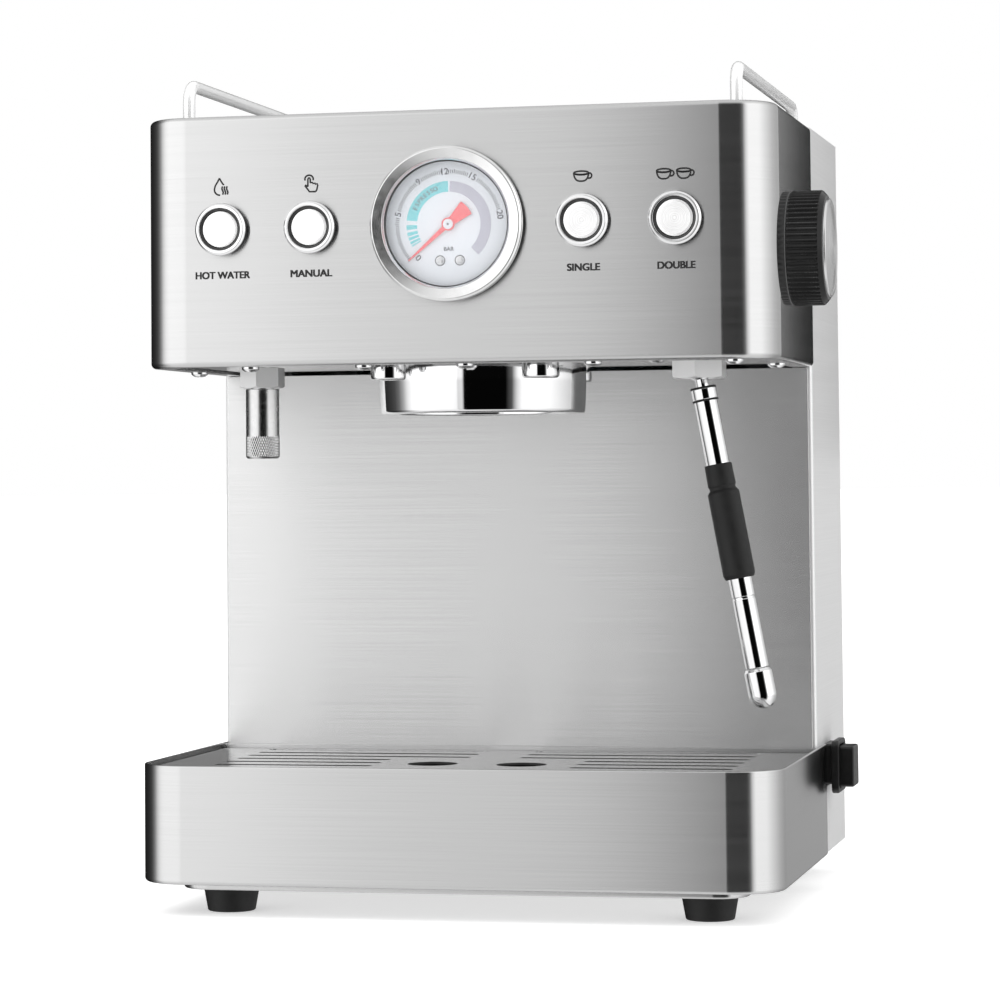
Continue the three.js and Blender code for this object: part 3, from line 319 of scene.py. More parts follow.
def rounded_box(low, high, radius, steps=6):
    """A closed outline of a rectangle with round corners, at any inset."""
    def outline(inset):
        r = max(radius - inset, 0.15)
        x0, x1, y0, y1 = low[0] + inset, high[0] - inset, low[1] + inset, high[1] - inset
        corners = ((x1 - r, y1 - r, 0), (x0 + r, y1 - r, 90), (x0 + r, y0 + r, 180), (x1 - r, y0 + r, 270))
        return [p for x, y, start in corners for p in arc((x, y), r, start, start + 90, steps)]
    return outline


def polygon(points):
    """A closed outline with no inset."""
    return lambda inset: points


def unmade(name, bm):
    """The mesh of a bmesh, which is then freed."""
    mesh = bpy.data.meshes.new(name)
    bm.to_mesh(mesh)
    bm.free()
    return mesh


def to_mesh(name, bm):
    bmesh.ops.remove_doubles(bm, verts=bm.verts, dist=1e-4)
    bmesh.ops.recalc_face_normals(bm, faces=bm.faces)
    bmesh.ops.scale(bm, vec=(MM, MM, MM), verts=bm.verts)
    return unmade(name, bm)


def bridge(bm, first, second, closed):
    """Quads, or triangles at a pole, between two rows of vertices."""
    count = max(len(first), len(second))
    for k in range(count if closed else count - 1):
        nxt = (k + 1) % count
        a = [first[k], first[nxt]] if len(first) > 1 else [first[0]]
        b = [second[nxt], second[k]] if len(second) > 1 else [second[0]]
        if len(a) + len(b) > 2:
            bm.faces.new(a + b)


def loft(name, outline, section, ring=True):
    """An outline carried through a section of (inset, height) points.

    With ring, the outline closes on itself and the section's ends are capped. Otherwise the section
    closes on itself and the outline's ends are capped.
    """
    bm = bmesh.new()
    rows = [[bm.verts.new((x, y, z)) for x, y in outline(inset)] for inset, z in section]
    for a, b in zip(rows, rows[1:]):
        bridge(bm, a, b, ring)
    if ring:
        bm.faces.new(rows[0])
        bm.faces.new(rows[-1])
    else:
        bridge(bm, rows[-1], rows[0], False)
        bm.faces.new([row[0] for row in rows])
        bm.faces.new([row[-1] for row in rows])
    return to_mesh(name, bm)


def lathe(name, profile, segments=FINE, wave=None):
    """(radius, height) points turned about +Z. wave(angle, radius, height) may change a radius."""
    bm = bmesh.new()
    rows = []
    for radius, height in profile:
        if radius < 1e-6:
            rows.append([bm.verts.new((0, 0, height))])
            continue
        row = []
        for k in range(segments):
            angle = 2 * math.pi * k / segments
            r = wave(angle, radius, height) if wave else radius
            row.append(bm.verts.new((r * math.cos(angle), r * math.sin(angle), height)))
        rows.append(row)
    pairs = list(zip(rows, rows[1:]))
    if len(rows[0]) > 1:
        pairs.append((rows[-1], rows[0]))
    for a, b in pairs:
        bridge(bm, a, b, True)
    return to_mesh(name, bm)


def add_object(name, data, place=None):
    obj = bpy.data.objects.new(name, data)
    SCENE.collection.objects.link(obj)
    if place:
        obj.matrix_world = place
    return obj


def final_mesh(obj):
    """The mesh of an object with its modifiers made permanent."""
    bpy.context.view_layer.update()
    return bpy.data.meshes.new_from_object(obj.evaluated_get(bpy.context.evaluated_depsgraph_get()))


def from_curve(name, curve, lines=(), closed=True):
    """The mesh of a curve, welded into one closed body. Each line of points is one of its splines."""
    for points in lines:
        spline = curve.splines.new("POLY")
        spline.points.add(len(points) - 1)
        spline.use_cyclic_u = closed
        for target, point in zip(spline.points, points):
            target.co = (*(Vector(point).to_3d() * MM), 1)
    holder = add_object(name, curve)
    mesh = final_mesh(holder)
    bpy.data.objects.remove(holder)
    bm = bmesh.new()
    bm.from_mesh(mesh)
    bmesh.ops.remove_doubles(bm, verts=bm.verts, dist=1e-6)
    bmesh.ops.recalc_face_normals(bm, faces=bm.faces)
    bm.to_mesh(mesh)
    bm.free()
    mesh.name = name
    return mesh


def plate(name, outlines, thickness, edge=0.2):
    """A flat plate round z 0: the first outline is its edge and the others are holes."""
    curve = bpy.data.curves.new(name, "CURVE")
    curve.dimensions = "2D"
    curve.fill_mode = "BOTH"
    curve.extrude = (thickness / 2 - edge) * MM
    curve.bevel_depth = edge * MM
    curve.bevel_resolution = 1
    curve.offset = -edge * MM
    return from_curve(name, curve, outlines)


def wire(name, lines, radius, sides=4):
    """Round wire along one or more lines of points."""
    curve = bpy.data.curves.new(name, "CURVE")
    curve.dimensions = "3D"
    curve.bevel_depth = radius * MM
    curve.bevel_resolution = sides
    curve.use_fill_caps = True
    return from_curve(name, curve, lines, False)


def circle(x, y, radius, steps=32):
    return arc((x, y), radius, 0, 360 - 360 / steps, steps - 1)


def ngon(corner, sides=6):
    return circle(0, 0, corner, sides)


def spun(degrees, axis="Z"):
    return Matrix.Rotation(math.radians(degrees), 4, axis)


# The ways that a piece made along +Z may face.
UP, FRONT, RIGHT, BACK = Matrix.Identity(4), spun(90, "X"), spun(90, "Y"), spun(90, "X") @ spun(180, "Y")


def placed(at, turn=UP):
    return Matrix.Translation(Vector(at) * MM) @ turn


def evaluated(obj):
    """Makes the object's modifiers permanent."""
    mesh = final_mesh(obj)
    obj.modifiers.clear()
    obj.data = mesh


def weigh_normals(obj):
    """Lets broad flat faces keep flat shading beside their rounded edges."""
    modifier = obj.modifiers.new("normals", "WEIGHTED_NORMAL")
    modifier.keep_sharp = True
    modifier.weight = 100
    evaluated(obj)


def piece(name, mesh, node=None, at=(0, 0, 0), turn=UP, body=None, slot=None, look=None, sharp=32):
    """A finished piece: placed, shaded, riding on its body and standing for its CAD node.

    One with no node and no body rides on the machine.
    """
    obj = add_object(name, mesh, placed(at, turn))
    slot = slot or SLOT_OF[node]
    if not mesh.materials:
        mesh.materials.append(look or LOOKS[slot])
        mesh.polygons.foreach_set("use_smooth", [True] * len(mesh.polygons))
        mesh.set_sharp_from_angle(angle=math.radians(sharp))
        weigh_normals(obj)
    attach(obj, body or BODY_OF.get(node, "machine"))
    if node:
        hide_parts(node)
    return obj


def turned(name, points, node=None, segments=FINE, wave=None, closed=False, **how):
    """A finished piece turned on a lathe from its profile."""
    return piece(name, lathe(name, filleted(points, closed), segments, wave), node, **how)


def combined(mesh, tools, operation="DIFFERENCE"):
    """A mesh cut by, or joined to, others. Each tool is a mesh, where it goes and how it is turned."""
    obj = add_object(mesh.name, mesh)
    helpers = []
    for tool, *place in tools:
        helpers.append(add_object("tool", tool, placed(*place)))
        modifier = obj.modifiers.new("cut", "BOOLEAN")
        modifier.operation = operation
        modifier.solver = "EXACT"
        modifier.object = helpers[-1]
    evaluated(obj)
    result = obj.data
    for spare in [obj, *helpers]:
        bpy.data.objects.remove(spare)
    return result


def drum(radius, height, steps=48):
    """A plain cylinder that cuts holes."""
    return lathe("drum", [(0, -height), (radius, -height), (radius, height), (0, height)], steps)


def block(name, size, radius=0.0, edge=0.0):
    """A box round the origin with round corners and softened top and bottom edges."""
    half = Vector(size) / 2
    low, high = (-half.x, -half.y), (half.x, half.y)
    section = [(edge * (1 - math.sin(a)), -half.z + edge * (1 - math.cos(a)))
               for a in (math.radians(30 * k) for k in range(4))] if edge else [(0, -half.z)]
    section += [(inset, -z) for inset, z in reversed(section)]
    return loft(name, rounded_box(low, high, max(radius, 0.15)), section)


# --- casing
def screws(name, places, low=1.0, turn=UP):
    """Cross-head screws: 7.8 mm across, standing 2.4 mm off the sheet, or less if they are low ones."""
    dome = filleted([(0, 0), (3.9, 0, 0.2), (3.8, -1.1, 0.5), (2.4, -2.1, 0.8), (0, -2.4)])
    bar = block("bar", (4.2, 0.9, 1.6))
    mesh = combined(lathe(name, dome, 40), [(bar, (0, 0, -2.2), spun(angle)) for angle in (20, 110)])
    mesh.transform(Matrix.Diagonal((1, 1, low, 1)))
    for number, at in enumerate(places, 1):
        piece(f"{name}_{number}", mesh.copy(), at=at, turn=turn, slot="brushed_steel", look=LOOKS["chrome"])


def head():
    low, high = span("head_shell")
    edge, flange = 2.3, 10.0            # the bend between its faces, and how far it turns in at the back
    inner = edge - SHEET
    section = filleted([
        (flange, low.z), (0, low.z, edge), (0, high.z, edge), (flange, high.z), (flange, high.z - SHEET),
        (SHEET, high.z - SHEET, inner), (SHEET, low.z + SHEET, inner), (flange, low.z + SHEET)], steps=6)
    shell = loft("head_case", front_rounded(low, high, HEAD_CORNER), section, ring=False)
    knob = middle("knob_collar")
    holes = []
    front_holes = [("gauge_case", GAUGE_HOLE), *(("button_cap_" + button, BUTTON_HOLE) for button in BUTTONS)]
    for node, radius in front_holes:
        at = middle(node)
        holes.append((drum(radius, 5), (at.x, low.y, at.z), FRONT))
    holes.append((drum(6, 5), (high.x, knob.y, knob.z), RIGHT))
    piece("head_case", combined(shell, holes), "head_shell")


def head_under_plate():
    low, high, centre = extent("head_under_plate")
    holes = [circle(middle(node).x, middle(node).y, radius) for node, radius in (
        ("boiler", 14.4), ("hot_water_nut", 6.6), ("wand_block", 9.0))]
    outline = front_rounded(low, high, HEAD_CORNER - COVER_INSET)(0)
    mesh = plate("head_floor", [outline, *holes], high.z - low.z)
    piece("head_floor", mesh, "head_under_plate", at=(0, 0, centre.z), look=LEVEL_STEEL)


def flange_screws():
    """Screws up through the flange and the under plate of the head, placed from its front left corner."""
    low, high = span("head_shell")
    places = []
    for x, y in ((49, 8), (100, 8), (145, 8), (201, 8), (227, 19), (262, 8), (8.5, 63), (271.5, 67)):
        on_flange = y < 12 or x < 12 or x > 268
        places.append((low.x + x, low.y + y, low.z if on_flange else span("head_under_plate")[0].z))
    screws("flange_screw", places)


def top():
    low, high = span("top_cover")
    tank_low, tank_high = span("water_tank")
    opening = rounded_box((tank_low.x - 2, tank_low.y - 2), (tank_high.x + 2, tank_high.y + 2), 6)(0)
    posts = []
    for side in SIDES:
        rail_low, rail_high = span("cup_rail_" + side)
        x = (rail_low.x + rail_high.x) / 2
        reach = (rail_high.x - rail_low.x) / 2
        posts += [circle(x, rail_low.y + reach, reach + 0.3), circle(x, rail_high.y - reach, reach + 0.3)]
    outline = front_rounded(low, high, HEAD_CORNER - COVER_INSET)(0)
    mesh = plate("top_plate", [outline, opening, *posts], high.z - low.z)
    piece("top_plate", mesh, "top_cover", at=(0, 0, (low.z + high.z) / 2), look=LEVEL_STEEL)


def cup_rail(side):
    node = "cup_rail_" + side
    low, high = span(node)
    radius = (high.x - low.x) / 2
    x, front, rear, height = low.x + radius, low.y + radius, high.y - radius, high.z - radius
    line = filleted([(front, low.z), (front, height, 8.0), (rear, height, 8.0), (rear, low.z)], steps=10)
    mesh = wire("rail_" + side, [[(x, y, z) for y, z in line]], radius, sides=10)
    piece("rail_" + side, mesh, node, look=RAIL_STEEL)


def side_panel(side):
    node = "side_panel_" + side
    low, high = span(node)
    sign = 1 if side == "right" else -1
    outer = high.x if sign > 0 else low.x
    bend, lip, foot_depth = 1.8, 9.0, 16.0
    front, rear = low.y, high.y
    section = filleted([
        (outer, rear), (outer, front, bend), (outer - sign * lip, front), (outer - sign * lip, front + SHEET),
        (outer - sign * SHEET, front + SHEET, bend - SHEET), (outer - sign * SHEET, rear)])
    mesh = loft("column_" + side, polygon(section), [(0, 0), (0, high.z - low.z)])
    if sign > 0:
        neck_low, neck_high = span("power_switch_body")
        size = (10, neck_high.y - neck_low.y - 4, neck_high.z - neck_low.z - 5)
        centre = (high.x, (neck_high.y + neck_low.y) / 2, (neck_high.z + neck_low.z) / 2 - low.z)
        mesh = combined(mesh, [(block("hole", size), centre)])
    piece("column_" + side, mesh, node, at=(0, 0, low.z), look=SATIN_STEEL)
    foot = block("column_foot_" + side, (foot_depth - SHEET, rear - front - 24, SHEET), 1.0)
    piece("column_foot_" + side, foot, slot="brushed_steel",
          at=(outer - sign * (foot_depth + SHEET) / 2, (rear + front + 20) / 2, low.z + SHEET / 2))


def pill(x0, x1, y, half, steps=8):
    """A slot's outline with round ends."""
    return arc((x1 - half, y), half, -90, 90, steps) + arc((x0 + half, y), half, 90, 270, steps)


def rear_panel():
    low, high = span("rear_panel")
    centre_x = (low.x + high.x) / 2
    half, first_vent, pitch = 46, 212, 11
    vents = [pill(centre_x - half, centre_x + half, first_vent + pitch * row - low.z, 2) for row in range(9)]
    inlet_low, inlet_high = span("mains_inlet")
    socket = rounded_box((inlet_low.x + 5, inlet_low.z + 2.7 - low.z),
                         (inlet_high.x - 5, inlet_high.z - 2.7 - low.z), 2)
    outline = rounded_box((low.x, 0), (high.x, high.z - low.z), 0.6)
    mesh = plate("back_panel", [outline(0), socket(0), *vents], SHEET)
    piece("back_panel", mesh, "rear_panel", at=(0, high.y - SHEET / 2, low.z), turn=FRONT, look=LEVEL_STEEL)
    fold = block("back_panel_fold", (high.x - low.x - 32, 15, SHEET), 1.0)
    piece("back_panel_fold", fold, at=(centre_x, high.y - 8.4, low.z + SHEET / 2), slot="brushed_steel")
    screws("back_screw", [(x, high.y, z) for z in (40, 320) for x in (low.x + 9, high.x - 9)], 0.5, FRONT)


def splash():
    low, high = span("splash_plate")
    size = high - low
    mesh = block("splash_back", (size.x, size.z, size.y), 1.0, 0.25)
    piece("splash_back", mesh, "splash_plate", at=(low + high) / 2, turn=FRONT, look=SPLASH_STEEL)


def base():
    low, high = span("base_shell")
    column_front = span("side_panel_left")[0].y
    edge, flange = 1.6, 10.0
    section = filleted([
        (flange, low.z), (0, low.z, edge), (0, high.z, 0.55), (SHEET, high.z, 0.55),
        (SHEET, low.z + SHEET, edge - SHEET), (flange, low.z + SHEET)], steps=5)
    shell = loft("base_case", front_rounded(low, high, BASE_CORNER), section, ring=False)
    inside = high.x - low.x - 2 * SHEET
    room = block("room", (inside + 0.02, 60, 200))
    mesh = combined(shell, [(room, ((low.x + high.x) / 2, column_front - 0.3 + 30, high.z))])
    piece("base_case", mesh, "base_shell")
    splash_front = span("splash_plate")[0].y
    rim = block("base_rear_rim", (inside - 0.4, 24.6, SHEET), 0.4, 0.3)
    piece("base_rear_rim", rim, at=((low.x + high.x) / 2, splash_front - 0.3 - SHEET / 2, high.z - 12.7),
          turn=FRONT, slot="brushed_steel", look=LEVEL_STEEL)


def floor_plate():
    low, high = span("floor_plate")
    thick = high.z - low.z
    section = filleted([(4, 0), (0, 0, 1.0), (0, thick, 1.0), (4, thick)])
    mesh = loft("base_floor", rounded_box(low, high, 14, 10), section)
    piece("base_floor", mesh, "floor_plate", at=(0, 0, low.z), look=LEVEL_STEEL)


def foot(node):
    low, high, centre = extent(node)
    top_radius, height = (high.x - low.x) / 2, high.z - low.z
    low_radius = top_radius - 1.8
    turned(node + "_rubber", [
        (0, 0.8), (low_radius - 3.2, 0.8, 0.3), (low_radius - 2.6, 0, 0.3), (low_radius, 0, 0.9),
        (top_radius, height - 0.6, 0.4), (top_radius - 0.6, height, 0.2), (0, height)], node, 64,
        at=(centre.x, centre.y, 0))


# --- drip tray
def drip_grate():
    """The slotted tray cover: seven rows of slots on each side of two round holes."""
    low, high = span("drip_grate")
    centre_x = (low.x + high.x) / 2
    first_row, pitch, outer, half = low.y + 22.5, 17, 115.5, 2.5
    holes = []
    for row in range(7):
        inner = 44 if row < 4 else 11.3
        for side in (-1, 1):
            ends = sorted((centre_x + side * inner, centre_x + side * outer))
            holes.append(pill(*ends, first_row + pitch * row, half))
    holes += [circle(centre_x + side * 20, low.y + 53.5, 11, 64) for side in (-1, 1)]
    outline = front_rounded(low, high, BASE_CORNER - 2)(0)
    mesh = plate("tray_grate", [outline, *holes], high.z - low.z, 0.12)
    grate = piece("tray_grate", mesh, "drip_grate", at=(0, 0, (low.z + high.z) / 2), look=LEVEL_STEEL)
    # The walls inside the slots get the near-black painted shade, in place of the shade that falls inside them.
    grate.data.materials.append(SLOT_PAINTED_SHADE)
    margin = 4
    for face in grate.data.polygons:
        x, y, _ = face.center / MM
        inside = low.x + margin < x < high.x - margin and low.y + margin < y < high.y - margin
        if inside and abs(face.normal.z) < 0.5:
            face.material_index = 1


def drip_basin():
    low, high = span("drip_basin")
    wall, corner = 2.0, BASE_CORNER - 4
    section = filleted([(12, low.z), (0, low.z, 4), (0, high.z, 0.8), (wall, high.z, 0.8),
                        (wall, low.z + wall, 3), (12, low.z + wall)])
    mesh = loft("tray_basin", rounded_box(low, high, corner, 10), section)
    piece("tray_basin", mesh, "drip_basin")


# --- pressure gauge
def sector(inner, outer, start, end, steps=24):
    return arc((0, 0), outer, start, end, steps) + arc((0, 0), inner, end, start, steps)


def joined(name, meshes):
    """One mesh of several, with no materials."""
    bm = bmesh.new()
    for mesh in meshes:
        bm.from_mesh(mesh)
    return unmade(name, bm)


def lettering(name, text, height, width=None, bold=0.0):
    """A raised print of a word, centred on its own origin. Bold prints it over itself, moved that far."""
    curve = bpy.data.curves.new(name, "FONT")
    curve.body = text
    curve.size = MM
    curve.extrude = 0.02 * MM
    mesh = from_curve(name, curve)
    low, high = (Vector(pick(v.co[k] for v in mesh.vertices) for k in range(3)) for pick in (min, max))
    tall = height * MM / (high.y - low.y)
    wide = width * MM / (high.x - low.x) if width else tall
    mesh.transform(Matrix.Diagonal((wide, tall, 1, 1)) @ Matrix.Translation(-(low + high) / 2))
    if not bold:
        return mesh
    prints = []
    for number, (x, y) in enumerate(((0, 0), (1, 0.5), (-1, 0.5), (1, -0.5), (-1, -0.5))):
        prints.append(mesh.copy())
        prints[-1].transform(placed((x * bold, y * bold, -0.003 * number)))
    return joined(name, prints)


def dial_angle(bar):
    """The place of a pressure on the dial, in degrees from the right-hand side."""
    return 221.0 - 10.6 * bar


def round_dial(mesh, angle, radius):
    """Moves a figure out to its place round the dial, with its top outward."""
    mesh.transform(spun(angle - 90) @ placed((0, radius, 0)))
    return mesh


def gauge_dial():
    """The dial: 0 to 20 bar, a teal band for the brewing range, a grey one above it, and two screws."""
    low, high, centre = extent("gauge_dial")
    turned("dial_plate", [(1, -0.8), (28.8, -0.8, 0.2), (28.8, 0, 0.2), (1, 0)], "gauge_dial",
           at=(centre.x, low.y, centre.z), turn=FRONT)

    def printed(name, mesh, look, above=0.05):
        piece(name, mesh, at=(centre.x, low.y - above, centre.z), turn=FRONT, slot="dial_face", look=look)

    def flat(name, inner, outer, start, end, steps=24):
        return plate(name, [sector(inner, outer, start, end, steps)], 0.08, 0.01)

    teal = [(90.5, 173.6), (180.0, 186.5), (190.0, 195.0), (197.0, 201.0), (203.0, 206.5), (208.0, 210.0)]
    printed("dial_teal", joined("teal", [flat("teal", *DIAL_BAND, *ends) for ends in teal]), TEAL)
    printed("dial_grey", flat("grey", *DIAL_BAND, -46, 88), DIAL_GREY)
    numbers = {0: 19.6, 5: 22.9, 9: 22.9, 12: 22.9, 15: 22.9, 20: 22.9}    # bar: radius
    tick_foot, short, long = 21.9, 23.5, 23.9
    ticks = []
    for step in range(101):
        angle = dial_angle(step / 5)
        if all(abs(angle - dial_angle(bar)) > 2.6 + 0.16 * bar ** 0.9 for bar in numbers if bar):
            reach = short if step % 5 else long
            ticks.append(flat("tick", tick_foot, reach, angle - 0.42, angle + 0.42, 1))
    printed("dial_ticks", joined("ticks", ticks), DIAL_INK)
    figures = []
    for bar, radius in numbers.items():
        angle = dial_angle(bar) + (0 if bar else 5.5)
        figures.append(round_dial(lettering("number", str(bar), 2.7, bold=0.1), angle, radius))
    printed("dial_numbers", joined("numbers", figures), DIAL_INK)
    first_letter, letter_step = 154, 6.2     # degrees
    word = [round_dial(lettering("letter", letter, 1.9, bold=0.08), first_letter - letter_step * k, 16.4)
            for k, letter in enumerate("ESPRESSO")]
    printed("dial_word", joined("word", word), TEAL_INK, 0.12)
    unit = lettering("dial_unit", "BAR", 1.7, bold=0.08)
    unit.transform(placed((0, -10.6, 0)))
    printed("dial_unit", unit, DIAL_INK)
    for number, x in enumerate((-3.9, 4.8), 1):
        at = (centre.x + x, low.y, centre.z - DIAL_SCREW_DROP)
        turned(f"dial_screw_edge_{number}", [(0, 0), (2.3, 0, 0.02), (2.3, 0.12, 0.05), (0, 0.12)], None, 32,
               at=at, turn=FRONT, slot="black_rubber", look=DARK_RING)
        profile = filleted([(0, 0.1), (1.9, 0.1, 0.1), (1.9, 0.5, 0.4), (0, 0.8)])
        bar = block("bar", (2.9, 0.75, 0.9))
        cross = [(bar, (0, 0, 0.8), Matrix.Rotation(turn + 0.5 * number, 4, "Z")) for turn in (0, math.pi / 2)]
        piece(f"dial_screw_{number}", combined(lathe("dial_screw", profile, 32), cross), at=at, turn=FRONT,
              slot="brushed_steel", look=NUT_STEEL)


def gauge_front():
    low, high, centre = extent("gauge_bezel")
    at = (centre.x, high.y, centre.z)
    outer, proud = (high.x - low.x) / 2, high.y - low.y
    window, well = outer - 6.2, outer - 2.5
    turned("gauge_ring", [
        (well, 0), (outer, 0), (outer, proud - 3.0, 0.3), (outer - 0.45, proud - 2.7, 0.2),
        (outer - 0.45, proud - 2.2, 0.2), (outer, proud - 1.9, 0.3), (outer, proud - 0.9, 0.7),
        (outer - 1.1, proud, 0.6), (window + 0.9, proud - 0.3, 0.4), (window + 0.3, proud - 1.2, 0.3),
        (window, proud - 1.7, 0.15), (window, proud - 3.4), (well, proud - 3.4)], "gauge_bezel", 160,
        closed=True, at=at, turn=FRONT, look=RING_STEEL)
    turned("gauge_gasket", [
        (window - 0.55, proud - 3.38), (window - 0.05, proud - 3.38), (window - 0.05, proud - 1.7, 0.1),
        (window - 0.55, proud - 2.2, 0.1)], None, 160, closed=True, at=at, turn=FRONT, slot="black_rubber",
        look=DARK_RING)
    lens_low, lens_high = span("gauge_lens")
    radius, thick = (lens_high.x - lens_low.x) / 2, lens_high.y - lens_low.y
    turned("gauge_window", [(0, 0), (radius, 0, 0.2), (radius, thick, 0.2), (0, thick)], "gauge_lens",
           at=(centre.x, lens_high.y, centre.z), turn=FRONT)


def gauge_needle():
    low, high, centre = extent("gauge_dial")
    at = (centre.x, low.y - 0.8, centre.z)
    reach, tail, half = 23.5, 10.5, 3.6
    fan = math.degrees(math.atan2(half, tail))
    outline = [(reach, 0.28), (2, 1.1), *arc((0, 0), math.hypot(tail, half), 180 - fan, 180 + fan, 8),
               (2, -1.1), (reach, -0.28)]
    blade = plate("needle_blade", [outline], 0.6, 0.12)
    piece("needle_blade", blade, "gauge_needle", at=at, turn=FRONT @ spun(dial_angle(0)))
    for name, slot, look, steps, points in (
            ("collar", "needle_red", None, 40,
             [(0, -4), (0.7, -4), (0.7, 0), (2.9, 0, 0.1), (2.9, 0.7, 0.2), (0, 0.7)]),
            ("hub", "dial_face", None, 40, [(0, 0.72), (2.2, 0.72, 0.1), (2.2, 1.0, 0.2), (0, 1.1)]),
            ("pin", "dial_face", DIAL_INK, 24, [(0, 1.0), (0.5, 1.0), (0.5, 1.25, 0.1), (0, 1.3)])):
        turned("needle_" + name, points, None, steps, at=at, turn=FRONT, body="gauge_needle", slot=slot,
               look=look)


# --- push buttons
def push_button(label):
    """A chrome bezel, a dark ring inside it and the turned cap that is pressed."""
    bezel_low, bezel_high = span("button_bezel_" + label)
    cap_low, cap_high = span("button_cap_" + label)
    centre = (cap_low + cap_high) / 2
    front = span("head_shell")[0].y
    place = {"at": (centre.x, front, centre.z), "turn": FRONT}
    outer, cap = (bezel_high.x - bezel_low.x) / 2, (cap_high.x - cap_low.x) / 2
    proud, back = front - bezel_low.y, front - bezel_high.y
    well = cap + 1.35
    turned("bezel_" + label, [
        (cap + 0.3, back), (cap + 1.5, back), (cap + 1.5, 0.3), (outer, 0.3), (outer, proud - 0.9, 0.9),
        (outer - 1.0, proud, 0.3), (well, proud, 0.25), (well, proud - 1.9), (cap + 0.3, proud - 1.9)],
        "button_bezel_" + label, closed=True, **place)
    turned("button_ring_" + label, [
        (cap + 0.3, proud - 1.85), (well - 0.05, proud - 1.85), (well - 0.05, proud - 0.5, 0.3),
        (cap + 0.3, proud - 0.9, 0.2)], closed=True, slot="black_plastic", look=DARK_RING, **place)
    face, end = front - cap_low.y, front - cap_high.y
    turned("cap_" + label, [
        (0, end), (2.6, end), (2.6, face - 9.5), (cap, face - 9.5), (cap, face - 0.05, 0.45),
        (cap - 1.2, face, 0.3), (0, face)], "button_cap_" + label, look=CAP_STEEL, **place)


def oval(x, y, wide, high, start, end, steps):
    """Points on part of an oval, with angles in degrees."""
    return [(x + wide * px, y + high * py) for px, py in arc((0, 0), 1, start, end, steps)]


def wave_line(x, y, height, swing, steps=12):
    return [(x + swing * math.sin(2 * math.pi * k / steps), y + height * k / steps) for k in range(steps + 1)]


def cup_strokes(x, width):
    """A low cup with a handle and an oval mouth."""
    half = width / 2
    bowl = [(x + half * math.copysign(abs(px) ** 0.7, px), 1.3 + 3.5 * py)
            for px, py in arc((0, 0), 1, 180, 360, 15)]
    return [oval(x, 1.3, half, 0.8, 0, 360, 24), oval(x, 1.0, 0.8 * half, 0.35, 180, 360, 9), bowl,
            oval(x + half + 0.2, 0.1, 1.15, 1.15, -110, 110, 11)]


def drop_strokes():
    """A drop whose lower right is left open for three rising waves."""
    left = [(-1.3, 3.6), (-2.1, 2.1), (-3.1, 0.5), *arc((-1.2, -1.4), 2.4, 165, 275, 9)]
    right = [(-1.3, 3.6), (-0.6, 2.3), (0.2, 1.1), (0.7, 0.6)]
    return [left, right] + [wave_line(x, -3.6, 3.6, 0.28) for x in (0.1, 1.15, 2.2)]


def hand_strokes():
    """A hand with one finger up, inside an open ring."""
    finger = [(-1.3, -1.2), (-1.3, 2.0), (-1.0, 2.6), (-0.5, 2.6), (-0.2, 2.0), (-0.2, 0.4)]
    knuckles = [(-0.2, 0.5), (0.8, 0.6), (1.0, 0.1), (1.9, 0.3), (2.1, -0.2), (2.9, 0.0), (3.1, -0.8),
                (2.7, -2.6), (2.2, -3.4)]
    palm = [(2.2, -3.4), (-0.6, -3.4), (-1.4, -2.3), (-2.6, -0.9), (-2.3, -0.5), (-1.3, -1.2)]
    return [finger, knuckles, palm, oval(-0.75, 2.1, 1.9, 1.7, -20, 200, 11)]


def button_print(label, word, width, strokes):
    """The word under a button and the small picture above it."""
    centre = middle("button_cap_" + label)
    icon = wire("icon_" + label, strokes, 0.38, sides=1)
    icon.transform(Matrix.Diagonal((1, 1, 0.15, 1)))
    for name, mesh, rise in (("label_", lettering("label_" + label, word, 3.0, width, 0.21), -LABEL_DROP),
                             ("icon_", icon, ICON_RISE)):
        at = (centre.x, span("head_shell")[0].y - INK_LIFT, centre.z + rise)
        piece(name + label, mesh, at=at, turn=FRONT, slot="black_plastic", look=INK)


